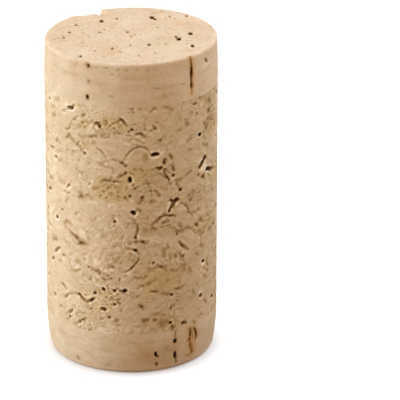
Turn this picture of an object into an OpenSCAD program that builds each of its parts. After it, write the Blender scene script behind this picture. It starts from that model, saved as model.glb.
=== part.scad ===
// Bottle stopper: a body of pressed cork granules with a natural cork disc glued to each end.
// Millimetres. The foot stands on z = 0, the axis is +Z, and angle 0 on the side faces -Y.

/* [Stopper] */
// Length along the axis, from the foot to the middle of the top face
length = 45; // [38:0.5:54]
// Diameter of the ground side
diameter = 23.5; // [21:0.1:26]
// How far the top face is out of square, in degrees, with its high side at +X
top_tilt = 0.8; // [0:0.1:1.5]

/* [Natural cork discs] */
// Thickness of the upper disc
top_disc_thickness = 6; // [4:0.1:8]
// Thickness of the lower disc
bottom_disc_thickness = 6; // [4:0.1:8]
// How much the radius has shrunk at the upper end
top_taper = 0.15; // [0:0.05:0.4]
// Rounding of the upper rim
top_rounding = 0.3; // [0.1:0.05:0.8]
// How much the radius has shrunk at the foot
foot_taper = 0.6; // [0:0.05:1]
// Rounding of the foot's rim
foot_rounding = 0.8; // [0.2:0.1:1.5]
// Pores scattered over the foot's face
foot_pores = 26; // [0:1:40]
// Pores scattered round the back of each disc's side
side_pores = 7; // [0:1:12]
// Depth that the broken rim at the back of the top has lost
chip_depth = 0.5; // [0.2:0.05:0.8]
// Width of the broken stretch of rim
chip_width = 5; // [3:0.5:7]

/* [Granules] */
// Width of a granule, round the side
granule_width = 3.2; // [2:0.1:5]
// Height of a granule, along the axis
granule_height = 2; // [1.2:0.1:3.5]
// Share of the granules whose upper edge has an open seam
open_seams = 0.32; // [0:0.02:0.8]
// Share of the granules with a pit at one end of their upper edge
open_corners = 0.24; // [0:0.02:0.6]
// Width of an open seam at its middle
seam_width = 0.22; // [0.1:0.02:0.4]
// Depth of an open seam
seam_depth = 0.45; // [0.3:0.05:0.8]
// Width of a scattered pit
pit_width = 0.6; // [0.3:0.05:1]
// Depth of a scattered pit
pit_depth = 0.9; // [0.4:0.1:1.6]

/* [Hidden] */
$fn = 96;
radius = diameter / 2;
body_foot = bottom_disc_thickness;
body_top = length - top_disc_thickness;
body_length = body_top - body_foot;
body_middle = (body_foot + body_top) / 2;
foot_flank = bottom_disc_thickness - foot_rounding;
foot_face_radius = narrowed(foot_flank, bottom_disc_thickness, foot_taper) - foot_rounding;
top_face_radius = radius - top_taper - top_rounding;
clear = 0.6;         // how far a cut starts outside the surface
glue_margin = 0.15;  // solid cork left between a cut and a glue face
foot_margin = 0.3;   // solid cork left between the foot and a cut in the lower disc's side
pore_floor = 1;      // solid cork left under the deepest pore of the upper disc
chip_angle = -147;   // where the rim is broken, round the side
chip_reach = 2.4;    // how far in from the side the broken rim runs
golden_angle = 137.5;    // the turn from one of the foot's scattered pores to the next
profile_steps = 5;   // straight steps in a curved profile
front_half = 74;     // half the width, in degrees, of the side whose marks are placed one by one

// Marks placed one by one on the front of the granule body, each at
// [angle, height above the body's middle, width, height, turn, depth].
front_pits = [
    [-70, 2, 1.1, 0.4, 10, 0.8], [-66.5, -8, 0.9, 0.4, 15, 0.8], [-64, -13.2, 1, 0.42, 5, 0.8],
    [-62, -5, 0.9, 0.3, 5, 0.6], [-60, 7.3, 0.9, 0.35, 5, 0.7], [-59.5, -1.4, 0.75, 0.42, 15, 0.9],
    [-56, -14.4, 0.8, 0.3, 8, 0.7], [-53, 0.1, 0.8, 0.3, 20, 0.6], [-52.5, -6.6, 0.7, 0.3, 10, 0.6],
    [-46, 4.1, 0.4, 0.5, 20, 0.5], [-46, -15.3, 0.55, 0.3, 8, 0.8], [-44, 15.3, 1.3, 0.48, 12, 1.1],
    [-44, -5.8, 0.6, 0.3, 0, 0.5], [-39.5, 0.3, 0.6, 0.25, 20, 0.6], [-33.5, 13.7, 0.4, 0.45, 0, 0.7],
    [-33, -14.1, 0.5, 0.2, 10, 0.5], [-32.5, -6, 0.4, 0.3, 0, 0.5], [-32, 9.4, 0.52, 0.42, -20, 0.9],
    [-29.5, -7, 0.36, 0.36, 0, 0.7], [-28.5, 5.1, 0.4, 0.35, 0, 0.6], [-25, -10.7, 0.45, 0.36, 0, 0.9],
    [-21, 13.6, 0.5, 0.45, 20, 0.7], [-19.5, -12.9, 0.95, 0.4, 0, 1.2], [-19, -9.9, 0.55, 0.36, -30, 1],
    [-15, -14, 0.42, 0.34, 0, 0.7], [-14, 13.8, 0.4, 0.3, 0, 0.6], [-12.5, 0.6, 0.45, 0.2, 20, 0.5],
    [-11.5, -10, 0.5, 0.38, 0, 1.1], [-11.5, -12, 0.45, 0.36, 0, 0.9], [-11, 0.1, 0.36, 0.48, 10, 0.9],
    [-11, -3.6, 0.35, 0.3, 0, 0.4], [-10, 12.9, 0.3, 0.3, 0, 0.4], [-6.5, 14, 0.4, 0.3, 10, 0.4],
    [-6, 8.8, 0.35, 0.3, 0, 0.5], [-4.5, -9.9, 0.5, 0.42, 0, 1.3], [-4, 7.2, 0.5, 0.3, 15, 0.8],
    [-1, 6.2, 1, 0.36, 100, 1.4], [-1, 3.9, 0.35, 0.4, 0, 0.8], [0.5, 13.4, 0.6, 0.45, -10, 0.5],
    [0.5, -16, 0.4, 0.25, 20, 0.4], [1, 5.5, 0.35, 0.25, -40, 0.7], [1, 1.5, 0.78, 0.52, -35, 1.4],
    [2.5, -2.1, 0.4, 0.45, 0, 1], [2.5, -4, 0.7, 0.34, -25, 0.9], [3.5, -10.9, 0.3, 0.25, 0, 0.5],
    [6.5, -12.3, 0.4, 0.3, 0, 0.4], [7, 3.7, 0.75, 0.4, 15, 0.6], [7.5, -2.8, 0.7, 0.36, -15, 0.45],
    [8, -8.3, 0.3, 0.3, 0, 0.5], [9.5, -7.9, 0.36, 0.3, 0, 0.6], [13, 13.2, 0.45, 0.35, 20, 0.5],
    [14, 13.8, 0.4, 0.35, 0, 0.5], [14.5, -6, 0.4, 0.36, 0, 1], [15.5, 9.7, 1.15, 0.44, 2, 1.5],
    [17, 14.2, 0.25, 0.5, 0, 0.4], [25.5, 1.2, 0.42, 0.38, -20, 1],
    [26.5, -15.2, 0.42, 0.36, -30, 0.9], [27.5, -11.1, 0.45, 0.38, -15, 0.8],
    [28.5, 6.3, 0.5, 0.4, 15, 0.9], [30, -6, 0.35, 0.3, 0, 0.4], [31.5, -2.4, 0.4, 0.32, 0, 0.8],
    [33.5, -6.2, 0.4, 0.3, 0, 0.4], [34, 4, 0.5, 0.42, 0, 1], [36, -4.3, 0.5, 0.34, -10, 1],
    [38, 1.5, 0.35, 0.3, -30, 0.6], [46.5, 15.7, 0.8, 0.4, -8, 0.7], [48.5, 14.2, 0.4, 0.3, -20, 0.6],
    [49, -2, 0.5, 0.25, -15, 0.6], [50.5, 5.2, 0.35, 0.4, 0, 0.5], [50.5, -8.6, 0.35, 0.3, -20, 0.5],
    [51.5, 11, 0.7, 0.42, -15, 1.4], [53, -12.7, 0.8, 0.42, -8, 1.2], [55, 4.7, 0.5, 0.35, -20, 0.5],
    [56, -7.8, 0.7, 0.42, -25, 1.2], [57.5, 7.3, 0.55, 0.4, -10, 0.9], [61, 5.4, 0.95, 0.46, -6, 1.4],
    [70, -14.1, 0.95, 0.42, -12, 1]
];

// Open seams placed one by one on the front of the granule body, each at
// [width, depth, [[angle, height above the body's middle], ...]].
front_seams = [
    [0.25, 0.45, [[-72, 8.1], [-67, 8.3], [-63, 8.4], [-58, 8.8]]],
    [0.22, 0.4, [[-66, 11.3], [-63, 11.5], [-60, 11.7]]],
    [0.4, 0.7, [[-66, -7.1], [-62, -6.6], [-58.5, -6], [-54, -5.5]]],
    [0.28, 0.5, [[-58, -10.9], [-53, -10.9], [-49, -11.1]]],
    [0.36, 0.6, [[-53.5, 14.4], [-50, 14.5], [-47.5, 14.9]]],
    [0.35, 0.6, [[-53, -12.8], [-50, -12.6], [-48, -12.1], [-45, -11.7]]],
    [0.25, 0.4, [[-51, -1.5], [-48.5, -1.3], [-46, -1.2]]],
    [0.3, 0.45, [[-47.5, -2.3], [-44, -2.7], [-40, -3.1], [-36.5, -4], [-34, -3.7], [-32.5, -3.6]]],
    [0.26, 0.5, [[-47.5, -14.8], [-45, -14.5], [-43, -14]]],
    [0.25, 0.5, [[-44, 9], [-42, 9.2], [-40, 9.4]]],
    [0.28, 0.55, [[-44, -16.2], [-40, -15.9], [-37, -15.5], [-33.5, -14.9], [-29.5, -14.6]]],
    [0.34, 0.6, [[-41, -11.5], [-37.5, -11.4], [-35, -11.9], [-31, -12.2], [-27.5, -11.8], [-24.5, -11.2]]],
    [0.2, 0.4, [[-38, 10.6], [-36, 10.2], [-34, 9.7]]],
    [0.2, 0.4, [[-31, 7.6], [-28.5, 8], [-26.5, 8.4]]],
    [0.16, 0.35, [[-24, -6.2], [-21.5, -5.7], [-19.5, -4.7], [-18.5, -3.6]]],
    [0.2, 0.45, [[-22, 10.4], [-20, 10.1], [-17, 9.5]]],
    [0.16, 0.35, [[-17.5, 5.4], [-15, 4.9]]],
    [0.16, 0.35, [[-16, -6], [-13, -6.5], [-9, -7.1]]],
    [0.2, 0.4, [[-15, -11.2], [-12.5, -10.9], [-10, -10.6]]],
    [0.14, 0.3, [[-14, 9.1], [-10, 9], [-7.5, 8.8]]],
    [0.16, 0.35, [[-10, 4.8], [-8, 4.9], [-6, 5.1]]],
    [0.22, 0.5, [[-9.5, 14.7], [-7.5, 15], [-5, 14.6], [-2.5, 14]]],
    [0.18, 0.4, [[-9, 6.7], [-6.5, 6.9], [-5, 7.1]]],
    [0.22, 0.5, [[-6, -7.1], [-3.5, -7.1], [-1, -6.8], [2, -6.1], [4.5, -5.4], [5, -4.6]]],
    [0.22, 0.5, [[-4.5, 9.1], [-3, 9.8], [-0.5, 10.4], [2.5, 10.8], [6, 11], [9, 10.8], [11.5, 10.3]]],
    [0.2, 0.45, [[-2, -10.5], [0.5, -10.9], [2, -11.3]]],
    [0.2, 0.45, [[3, 12.8], [5, 12.9], [9, 12.6]]],
    [0.2, 0.5, [[3.2, -1.7], [4, -1.3], [4.3, -0.6]]],
    [0.22, 0.5, [[13.5, -0.1], [16, 0.2], [19, 0.6], [23, 0.7], [27, 0.6], [29.5, 0.4]]],
    [0.18, 0.4, [[16.5, 7.8], [19, 7.8], [21, 7.5]]],
    [0.18, 0.4, [[17.5, -6.3], [19.5, -6.7], [22, -7.2]]],
    [0.2, 0.45, [[21.5, 6.9], [23.5, 6.4], [25, 5.9]]],
    [0.46, 1.1, [[25, 1.3], [27.5, 1.8], [29, 2.4], [31.5, 2.8], [33.5, 2.5]]],
    [0.3, 0.7, [[25.5, 3.1], [27.3, 2.7], [29.3, 2.4]]],
    [0.18, 0.4, [[29.5, 5.4], [31, 4.9], [32.5, 4.4]]],
    [0.2, 0.4, [[30, -10.5], [33, -10.3], [37, -10.1]]],
    [0.2, 0.4, [[31, -15.3], [35, -15.6], [39, -15.9]]],
    [0.32, 0.7, [[31.5, -3.1], [34, -3.7], [36, -4.3], [39, -4.8], [43, -5.4]]],
    [0.2, 0.4, [[38.5, 1.4], [40, 1], [41.5, 0.6]]],
    [0.44, 1.1, [[50.5, 6.1], [53, 6.4], [55, 6.8], [57.5, 7.3]]],
    [0.36, 0.9, [[61, 5.4], [64, 5.2], [67, 5], [70, 4.8], [74, 4.6]]]
];

// Pores of the upper disc's face, each at [x, y, width, length, turn, depth].
top_pores = [
    [-9, -0.4, 0.35, 0.6, 0, 0.8], [-8.3, 1.6, 0.4, 0.6, 10, 1], [-7.4, 4.5, 0.35, 0.8, 15, 0.8],
    [-6.7, -7.8, 0.3, 0.6, 0, 2], [-4.8, -6, 0.22, 0.5, 0, 0.6], [-4.2, 1.4, 0.45, 0.55, 0, 0.8],
    [-4, 5.9, 0.42, 0.7, 0, 3], [-3.6, 2.7, 0.25, 0.5, 0, 0.6], [-2.5, -5.1, 0.3, 0.5, 0, 1.5],
    [-1.9, -4.5, 0.22, 0.4, -30, 0.6], [-1.9, 6.9, 0.3, 0.5, 0, 1.2], [-1.6, -6.3, 0.2, 0.5, 30, 0.5],
    [-0.6, -4.9, 0.2, 0.5, 30, 0.5], [-0.4, 1.4, 0.22, 0.6, 0, 1.2], [-0.1, -3.7, 0.2, 0.5, 20, 0.5],
    [0.1, -0.4, 0.22, 0.5, 0, 0.6], [0.5, 0.4, 0.2, 0.4, 0, 0.5], [1.1, -8, 0.25, 0.6, 0, 0.4],
    [2.4, -3.8, 0.35, 0.7, -5, 3], [2.9, 7, 0.5, 0.85, 0, 4], [3.3, 6.3, 0.25, 0.5, 30, 2],
    [3.2, -7, 0.22, 0.5, 0, 0.4], [5.3, 7.4, 0.25, 0.45, 0, 0.6], [6.1, -1, 0.25, 0.5, 0, 2],
    [6.4, -1.8, 0.5, 0.8, -15, 4], [7.6, 7.4, 0.3, 0.45, 0, 0.6], [8, 0.3, 0.5, 0.7, 0, 4],
    [8.2, -4.6, 0.42, 0.7, 0, 3]
];

// Pores and fissures that break through the upper disc's side, with heights above its glue face.
top_side_pores = [
    [-29.5, 1, 0.4, 0.45, 0, 0.6], [-29, 5.4, 0.4, 0.6, 0, 0.6], [-28, 3.2, 0.4, 0.35, 0, 0.25],
    [43, 2, 0.45, 0.5, 0, 0.5], [43.3, 3.6, 0.45, 1.1, 0, 0.8], [59, 4.6, 0.45, 0.5, -20, 0.5]
];
top_fissures = [
    [0.34, 0.3, [[43, 1.2], [43, 2], [43.3, 3.6], [43.3, 5], [42.5, 6.2]]]
];

// The same for the lower disc, with heights above the foot.
foot_side_pores = [
    [-40.5, 1.4, 0.45, 0.45, 0, 0.4], [16, 2.8, 0.35, 0.65, 15, 0.7], [17, 1.3, 0.45, 0.45, 0, 0.6],
    [30, 4.4, 0.5, 0.6, 0, 1], [30.5, 2.2, 0.36, 1.1, 0, 0.8]
];
foot_fissures = [
    [0.36, 0.3, [[42.5, 5.8], [43, 4.9], [42.3, 3.9], [44, 3], [45.5, 2]]],
    [0.36, 0.3, [[45.5, 5.6], [48, 4.9], [48.8, 3.9], [47.5, 3.4]]]
];

// A repeatable number between 0 and 1 for each n.
function chance(n) = let (v = sin(n * 78.233) * 437.5453) v - floor(v);

// An irregular five-sided gap, as cut granules and bark leave it.
function gap_outline(width, tall, n) = [
    for (k = [0 : 4])
        let (angle = 72 * k + 30 * (chance(n + k) - 0.5), reach = 0.9 + 0.35 * chance(7 * n + k))
        [width / 2 * reach * cos(angle), tall / 2 * reach * sin(angle)]
];

// A crack along a few points: widest inside, and down to nothing at both ends.
function across(points, k) =
    let (d = points[min(k + 1, len(points) - 1)] - points[max(k - 1, 0)])
    [-d[1], d[0]] / norm(d);
function crack_outline(points, width) =
    let (last = len(points) - 1, mid = (points[0] + points[1]) / 2)
    last == 1
        ? [points[0], mid + across(points, 0) * width / 2, points[1], mid - across(points, 0) * width / 2]
        : concat(
            [points[0]],
            [for (k = [1 : last - 1]) points[k] + across(points, k) * width / 2],
            [points[last]],
            [for (k = [last - 1 : -1 : 1]) points[k] - across(points, k) * width / 2]
        );

// Places a flat outline on the side, seen from outside: x runs round the side and y runs up.
module on_side(angle, height) {
    rotate([0, 0, angle])
        translate([0, -radius, height])
            rotate([90, 0, 0])
                children();
}

module cut_in(depth) {
    translate([0, 0, -depth])
        linear_extrude(depth + clear)
            children();
}

module side_gap(angle, height, width, tall, turn, depth, n) {
    on_side(angle, height)
        cut_in(depth)
            rotate(turn)
                polygon(gap_outline(width, tall, n));
}

module side_crack(points, width, depth, base) {
    middle = (points[0] + points[len(points) - 1]) / 2;
    mm_per_degree = PI * radius / 180;
    flat = [for (p = points) [(p[0] - middle[0]) * mm_per_degree, p[1] - middle[1]]];
    on_side(middle[0], base + middle[1])
        cut_in(depth)
            polygon(crack_outline(flat, width));
}

// Marks that are placed one by one, left out where a shorter piece has no room for them.
module placed_gaps(list, base, low, high) {
    for (k = [0 : len(list) - 1])
        let (g = list[k], half = max(g[2], g[3]) / 2, z = base + g[1])
        if (z - half > low && z + half < high)
            side_gap(g[0], z, g[2], g[3], g[4], g[5], k);
}

module placed_cracks(list, base, low, high) {
    for (c = list)
        if (base + min([for (p = c[2]) p[1]]) > low && base + max([for (p = c[2]) p[1]]) < high)
            side_crack(c[2], c[0], c[1], base);
}

// The granules round the back lie in staggered rows, each moved a little from its place.
granules_round = round(PI * diameter / granule_width);
granule_rows = floor(body_length / granule_height);
granule_step = 360 / granules_round;
back_columns = [ceil(front_half / granule_step) : floor((360 - front_half) / granule_step)];
function granule_place(column, row) =
    let (n = 31 * row + 7 * column)
    [
        granule_step * (column + (row % 2) / 2 + 0.5 * (chance(n) - 0.5)),
        body_length * (row + 0.5 + 0.5 * (chance(n + 500) - 0.5)) / granule_rows
    ];

// The upper edge of one granule: an arch or a hollow, leaning to one side.
function granule_edge(column, row) =
    let (
        n = 31 * row + 7 * column,
        place = granule_place(column, row),
        half = granule_step * (0.2 + 0.35 * chance(n + 1)),
        rise = granule_height * 0.6 * (chance(n + 2) - 0.4),
        lean = granule_height * 0.7 * (chance(n + 3) - 0.5)
    )
    [for (t = [-1 : 2 / 3 : 1]) place + [half * t, rise * (1 - t * t) + lean * t]];

module scattered_seams() {
    for (row = [1 : granule_rows - 2], column = back_columns)
        if (chance(17 * row + column) < open_seams)
            side_crack(
                granule_edge(column, row),
                seam_width * (0.7 + 0.6 * chance(row + 5 * column)),
                seam_depth, body_foot
            );
}

module scattered_pits() {
    for (row = [0 : granule_rows - 1], column = back_columns)
        let (
            n = 13 * row + 7 * column,
            end = granule_edge(column, row)[chance(n) < 0.5 ? 0 : 3],
            room = min(end[1], body_length - end[1])
        )
        if (chance(n + 5) < open_corners && room > granule_height / 2)
            side_gap(
                end[0], body_foot + end[1],
                pit_width * (0.6 + 0.9 * chance(n + 1)), pit_width * (0.4 + 0.3 * chance(n + 2)),
                60 * (chance(n + 3) - 0.5), pit_depth * (0.6 + 0.6 * chance(n + 4)), n
            );
}

// A disc's flank from its glue face outwards, narrowing as the square of the distance.
function narrowed(y, thickness, taper) = radius - taper * pow(y / thickness, 2);
function flank(thickness, taper, reach) = [
    for (k = [0 : profile_steps])
        let (y = reach * k / profile_steps)
        [narrowed(y, thickness, taper), y]
];

// A quarter round that ends level, at the given face radius.
function quarter_round(face_radius, rounding, y) = [
    for (k = [1 : profile_steps])
        let (a = 90 * k / profile_steps)
        [face_radius + rounding * cos(a), y + rounding * sin(a)]
];

// What the last grinding pass takes off the top: all above the face, and the rim's rounded corner.
// The rounding runs out through the flank at a slant, a little below the rim.
module top_trim() {
    reach = radius + clear;
    over = radius * tan(top_tilt) + clear;
    slant = [0.25, -1.5];
    rounding = [
        for (k = [0 : profile_steps - 1])
            let (a = 90 * k / profile_steps)
            [top_face_radius + top_rounding * sin(a), top_rounding * (cos(a) - 1)]
    ];
    run_out = rounding[profile_steps - 1] + slant;
    translate([0, 0, length])
        rotate([0, -top_tilt, 0])
            rotate_extrude()
                polygon(concat(
                    [[0, 0]], rounding, [run_out, [reach, run_out[1]], [reach, 2 * over], [0, 2 * over]]
                ));
}

// The stretch of the rim at the back that has broken away, with a deep nick at one end.
module rim_chip() {
    nick = chip_depth * 2.2;
    step = chip_width * 0.09;
    on_side(chip_angle, length)
        cut_in(chip_reach)
            polygon([
                [-chip_width / 2, clear], [-chip_width / 2 + step / 2, -chip_depth],
                [-chip_width / 2 + step, -nick], [-chip_width / 2 + 2 * step, -chip_depth * 1.1],
                [0, -chip_depth], [chip_width / 4, -chip_depth * 0.6], [chip_width / 2, 0.1],
                [chip_width / 2, clear]
            ]);
}

// Pores that break through the back of a disc's side.
module scattered_side_pores(base, thickness, start) {
    span = 360 - 2 * front_half;
    for (k = [0 : side_pores - 1])
        let (n = start + 11 * k)
        side_gap(
            front_half + span * (k + chance(n)) / side_pores,
            base + thickness * (0.3 + 0.4 * chance(n + 1)),
            0.3 + 0.2 * chance(n + 2), 0.4 + 0.9 * chance(n + 3), 0, 0.3 + 0.5 * chance(n + 4), n
        );
}

module top_disc() {
    blank = top_disc_thickness + radius * tan(top_tilt) + clear;
    color([0.92, 0.81, 0.67])
        difference() {
            translate([0, 0, body_top])
                rotate_extrude()
                    polygon(concat([[0, 0]], flank(top_disc_thickness, top_taper, blank), [[0, blank]]));
            top_trim();
            rim_chip();
            for (k = [0 : len(top_pores) - 1])
                let (p = top_pores[k])
                if (norm([p[0], p[1]]) + p[3] < top_face_radius)
                    translate([p[0], p[1], length - min(p[5], top_disc_thickness - pore_floor)])
                        linear_extrude(top_disc_thickness)
                            rotate(p[4])
                                polygon(gap_outline(p[2], p[3], k));
            placed_gaps(top_side_pores, body_top, body_top + glue_margin, length + clear);
            placed_cracks(top_fissures, body_top, body_top + glue_margin, length + clear);
            scattered_side_pores(body_top, top_disc_thickness, 40);
        }
}

module granule_body() {
    color([0.84, 0.70, 0.54])
        difference() {
            translate([0, 0, body_foot])
                cylinder(r = radius, h = body_length);
            placed_gaps(front_pits, body_middle, body_foot + glue_margin, body_top - glue_margin);
            placed_cracks(front_seams, body_middle, body_foot + glue_margin, body_top - glue_margin);
            scattered_seams();
            scattered_pits();
        }
}

// Pores of the foot's face, spread like the seeds of a sunflower.
module foot_face_pores() {
    for (k = [0 : foot_pores - 1])
        let (
            n = 200 + 9 * k, turn = golden_angle * k,
            out = foot_face_radius * (0.15 + 0.75 * sqrt((k + 0.5) / foot_pores))
        )
        translate([out * cos(turn), out * sin(turn), -clear])
            linear_extrude(clear + 0.4 + 2.6 * chance(n) * chance(n + 1))
                polygon(gap_outline(0.25 + 0.3 * chance(n + 2), 0.4 + 0.5 * chance(n + 3), n));
}

module bottom_disc() {
    color([0.90, 0.78, 0.64])
        difference() {
            translate([0, 0, bottom_disc_thickness])
                mirror([0, 0, 1])
                    rotate_extrude()
                        polygon(concat(
                            [[0, 0]],
                            flank(bottom_disc_thickness, foot_taper, foot_flank),
                            quarter_round(foot_face_radius, foot_rounding, foot_flank),
                            [[0, bottom_disc_thickness]]
                        ));
            foot_face_pores();
            placed_gaps(foot_side_pores, 0, foot_margin, body_foot - glue_margin);
            placed_cracks(foot_fissures, 0, foot_margin, body_foot - glue_margin);
            scattered_side_pores(0, bottom_disc_thickness, 90);
        }
}

top_disc();
granule_body();
bottom_disc();
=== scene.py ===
"""A cork bottle stopper: a pressed granule body with a natural cork disc glued to each end."""

from math import atan, cos, pi, radians, sin

import bpy
import numpy as np
from mathutils import Matrix, Vector
from mathutils.bvhtree import BVHTree


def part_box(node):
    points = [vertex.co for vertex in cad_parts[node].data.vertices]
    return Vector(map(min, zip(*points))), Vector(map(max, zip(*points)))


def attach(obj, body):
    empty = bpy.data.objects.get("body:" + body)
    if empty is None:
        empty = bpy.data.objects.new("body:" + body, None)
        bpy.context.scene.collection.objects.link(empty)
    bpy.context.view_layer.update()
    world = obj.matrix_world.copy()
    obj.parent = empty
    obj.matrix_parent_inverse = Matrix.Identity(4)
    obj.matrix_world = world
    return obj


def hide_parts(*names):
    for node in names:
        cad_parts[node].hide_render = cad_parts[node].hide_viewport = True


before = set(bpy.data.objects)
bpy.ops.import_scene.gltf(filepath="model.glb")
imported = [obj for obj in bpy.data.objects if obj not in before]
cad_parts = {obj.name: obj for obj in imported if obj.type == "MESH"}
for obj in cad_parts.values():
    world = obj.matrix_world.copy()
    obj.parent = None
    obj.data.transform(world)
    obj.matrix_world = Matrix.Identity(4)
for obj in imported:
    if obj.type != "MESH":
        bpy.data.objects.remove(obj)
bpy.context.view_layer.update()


# The granule body
# Oak bark is ground to granules two to four millimetres across, mixed with a little glue,
# pressed into a rod, cut to length and ground to its diameter. Grinding opens pits and seams.

body_low, body_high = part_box("granule_body")
radius = (body_high.x - body_low.x) / 2
body_height = body_high.z - body_low.z
girth = 2 * pi * radius
mm = 0.001
degree = radians(1) * radius / mm   # one degree of the side, in millimetres

body_columns = 460              # mesh columns round the side
body_rows = 205                 # mesh rows from glue face to glue face
fine = 3                        # finer steps to each mesh step, for pits and granules
stand_off = 1 * mm              # where rays start, over the smooth form
facet_slack = 0.015 * mm        # what the solid's flat facets lie below the true round
seen_depth = 0.28 * mm          # how deep a pit is seen before it is black
mark_fall = 0.66                # the share of a mark's width over which its darkness falls away


def solid_of(node):
    """The node's own surface, to be felt with rays."""
    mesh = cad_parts[node].data
    return BVHTree.FromPolygons([v.co for v in mesh.vertices], [p.vertices for p in mesh.polygons])


def depth_under(solid, starts, ways):
    """How deep the solid's surface lies under the smooth form, along each ray."""
    flat_starts, flat_ways = starts.reshape(-1, 3).tolist(), ways.reshape(-1, 3).tolist()
    met = [solid.ray_cast(start, way)[3] for start, way in zip(flat_starts, flat_ways)]
    depth = np.array([stand_off if far is None else far for far in met]) - stand_off
    return np.maximum(depth.reshape(starts.shape[:-1]) - facet_slack, 0)


def eased(values, low, high):
    """Nought below low and one above high, with a soft passage between."""
    share = np.clip((values - low) / (high - low), 0, 1)
    return share * share * (3 - 2 * share)


def softened(values, passes):
    """Blends each point of a grid with the points beside it."""
    for step in range(passes):
        values = (np.roll(values, 1, 0) + 2 * values + np.roll(values, -1, 0)) / 4
        padded = np.pad(values, ((0, 0), (1, 1)), "edge")
        values = (padded[:, :-2] + 2 * values + padded[:, 2:]) / 4
    return values


def pit_shade_by_depth(depth):
    """How black an open pit is painted at its depth: painted shade of its unlit inside."""
    return 0.5 * eased(depth, 0.05 * mm, 0.25 * mm) + 0.5 * eased(depth, 0.3 * mm, 0.9 * mm)


def hollow_dust_and_shade(felt, mean, passes):
    """The depth of hollows, what dust leaves of it, and how dark they are painted, as means of finer
    depths.

    Slits fill up with dust and turn brown, and wide pits stay open and are painted black as painted shade."""
    depth = mean(felt)
    slit, wide, full_black = 0.1 * mm, 0.3 * mm, 0.42
    width = eased(softened(depth, passes), slit, wide)
    left = (0.4 + 0.6 * width) * softened(mean(np.minimum(felt, seen_depth)), passes // 3)
    black = np.minimum(softened(mean(pit_shade_by_depth(felt)), passes // 3) / full_black, 1)
    return depth, left, black ** 1.5 * (0.6 + 0.4 * width)


def strokes(listed, unit=1):
    """Thin marks from a list, in which a number alone is the darkness of the marks after it.

    A mark is its width and then its points, each a place across and a height. Darkness and width are
    in hundredths, heights in millimetres, and places across in units of so many millimetres."""
    found = []
    for entry in listed:
        if isinstance(entry, list):
            width, *spots = entry
            spots = np.array(spots, float).reshape(-1, 2) * (unit, 1)
            found.append((darkness / 100, width / 100, spots))
        else:
            darkness = entry
    return found


def drawn(lines, across, up):
    """How dark thin marks leave the points of a surface, whose places are given in millimetres."""
    dark = np.zeros(across.shape)
    for strength, width, spots in lines:
        low, high = spots.min(axis=0) - 2 * width, spots.max(axis=0) + 2 * width
        near = (across > low[0]) & (across < high[0]) & (up > low[1]) & (up < high[1])
        x, y = across[near], up[near]
        away = np.full(x.shape, np.inf)
        for start, end in zip(spots[:-1], spots[1:]):
            run = end - start
            part = ((x - start[0]) * run[0] + (y - start[1]) * run[1]) / (run @ run)
            part = np.clip(part, 0, 1)
            away = np.minimum(away, np.hypot(x - start[0] - part * run[0], y - start[1] - part * run[1]))
        dark[near] = np.maximum(dark[near], strength * np.exp(-(away / (mark_fall * width)) ** 2))
    return dark


def less_by_dust(places, across, up):
    """What share of their darkness, partly painted shade, hollows keep near places where they are full of
    dust.
    """
    kept = np.ones(np.broadcast(across, up).shape)
    for angle, height, reach, share in places:
        away = np.hypot(across - radians(angle) * radius / mm, up - height) / reach
        kept = kept * (1 - (1 - share) * np.exp(-away ** 4))
    return kept


def block_mean(values):
    """Means over the fine steps round each mesh point."""
    across, up = values.shape
    return values.reshape(across // fine, fine, up // fine, fine).mean(axis=(1, 3))


def soft_noise(across, up, swells, seed):
    """Smooth chance values from -1 to 1 on a grid that closes round the side."""
    chance = np.random.default_rng(seed)
    lattice = chance.uniform(-1, 1, (swells[0], swells[1] + 2))
    x = np.arange(across) * swells[0] / across
    y = np.arange(up) * swells[1] / up
    left, foot = x.astype(int), y.astype(int)
    fx, fy = x - left, y - foot
    fx, fy = fx * fx * (3 - 2 * fx), fy * fy * (3 - 2 * fy)
    right = (left + 1) % swells[0]
    low = lattice[left][:, foot] * (1 - fx)[:, None] + lattice[right][:, foot] * fx[:, None]
    high = lattice[left][:, foot + 1] * (1 - fx)[:, None] + lattice[right][:, foot + 1] * fx[:, None]
    return low * (1 - fy) + high * fy


# The side as a fine grid: along is the way round in metres, and up the height above the glue face.
fine_columns, fine_rows = fine * body_columns, fine * body_rows
fine_along = (np.arange(fine_columns) - fine // 2) * girth / fine_columns
row_step = body_height / (body_rows - 1)
end_gap = 0.02 * mm
fine_up = np.clip((np.arange(fine_rows) - fine // 2) * row_step / fine, end_gap, body_height - end_gap)
fine_angle = fine_along / radius
outward = np.stack([np.sin(fine_angle), -np.cos(fine_angle), np.zeros(fine_columns)], axis=1)
starts = np.repeat((outward * (radius + stand_off))[:, None, :], fine_rows, axis=1)
starts[:, :, 2] = body_low.z + fine_up
ways = np.repeat(-outward[:, None, :], fine_rows, axis=1)
body_depth = depth_under(solid_of("granule_body"), starts, ways)

# What a granule looks like: how much paler it is than the rest, and how ochre, rosy and crumbly.
finishes = {
    "plain": (0, 0.1, 0.3, 0.5), "smooth": (0.01, 0, 0.35, 0.12), "rosy": (0.05, 0, 1, 0.08),
    "cream": (0.05, 0.35, 0, 0.4), "ochre": (-0.05, 0.9, 0, 0.9), "crumb": (-0.01, 0.35, 0.1, 1),
    "brown": (-0.06, 0.2, 0.3, 0.5), "olive": (-0.02, 0.85, 0, 0.3), "honey": (0, 0.7, 0.2, 1),
}

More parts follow.
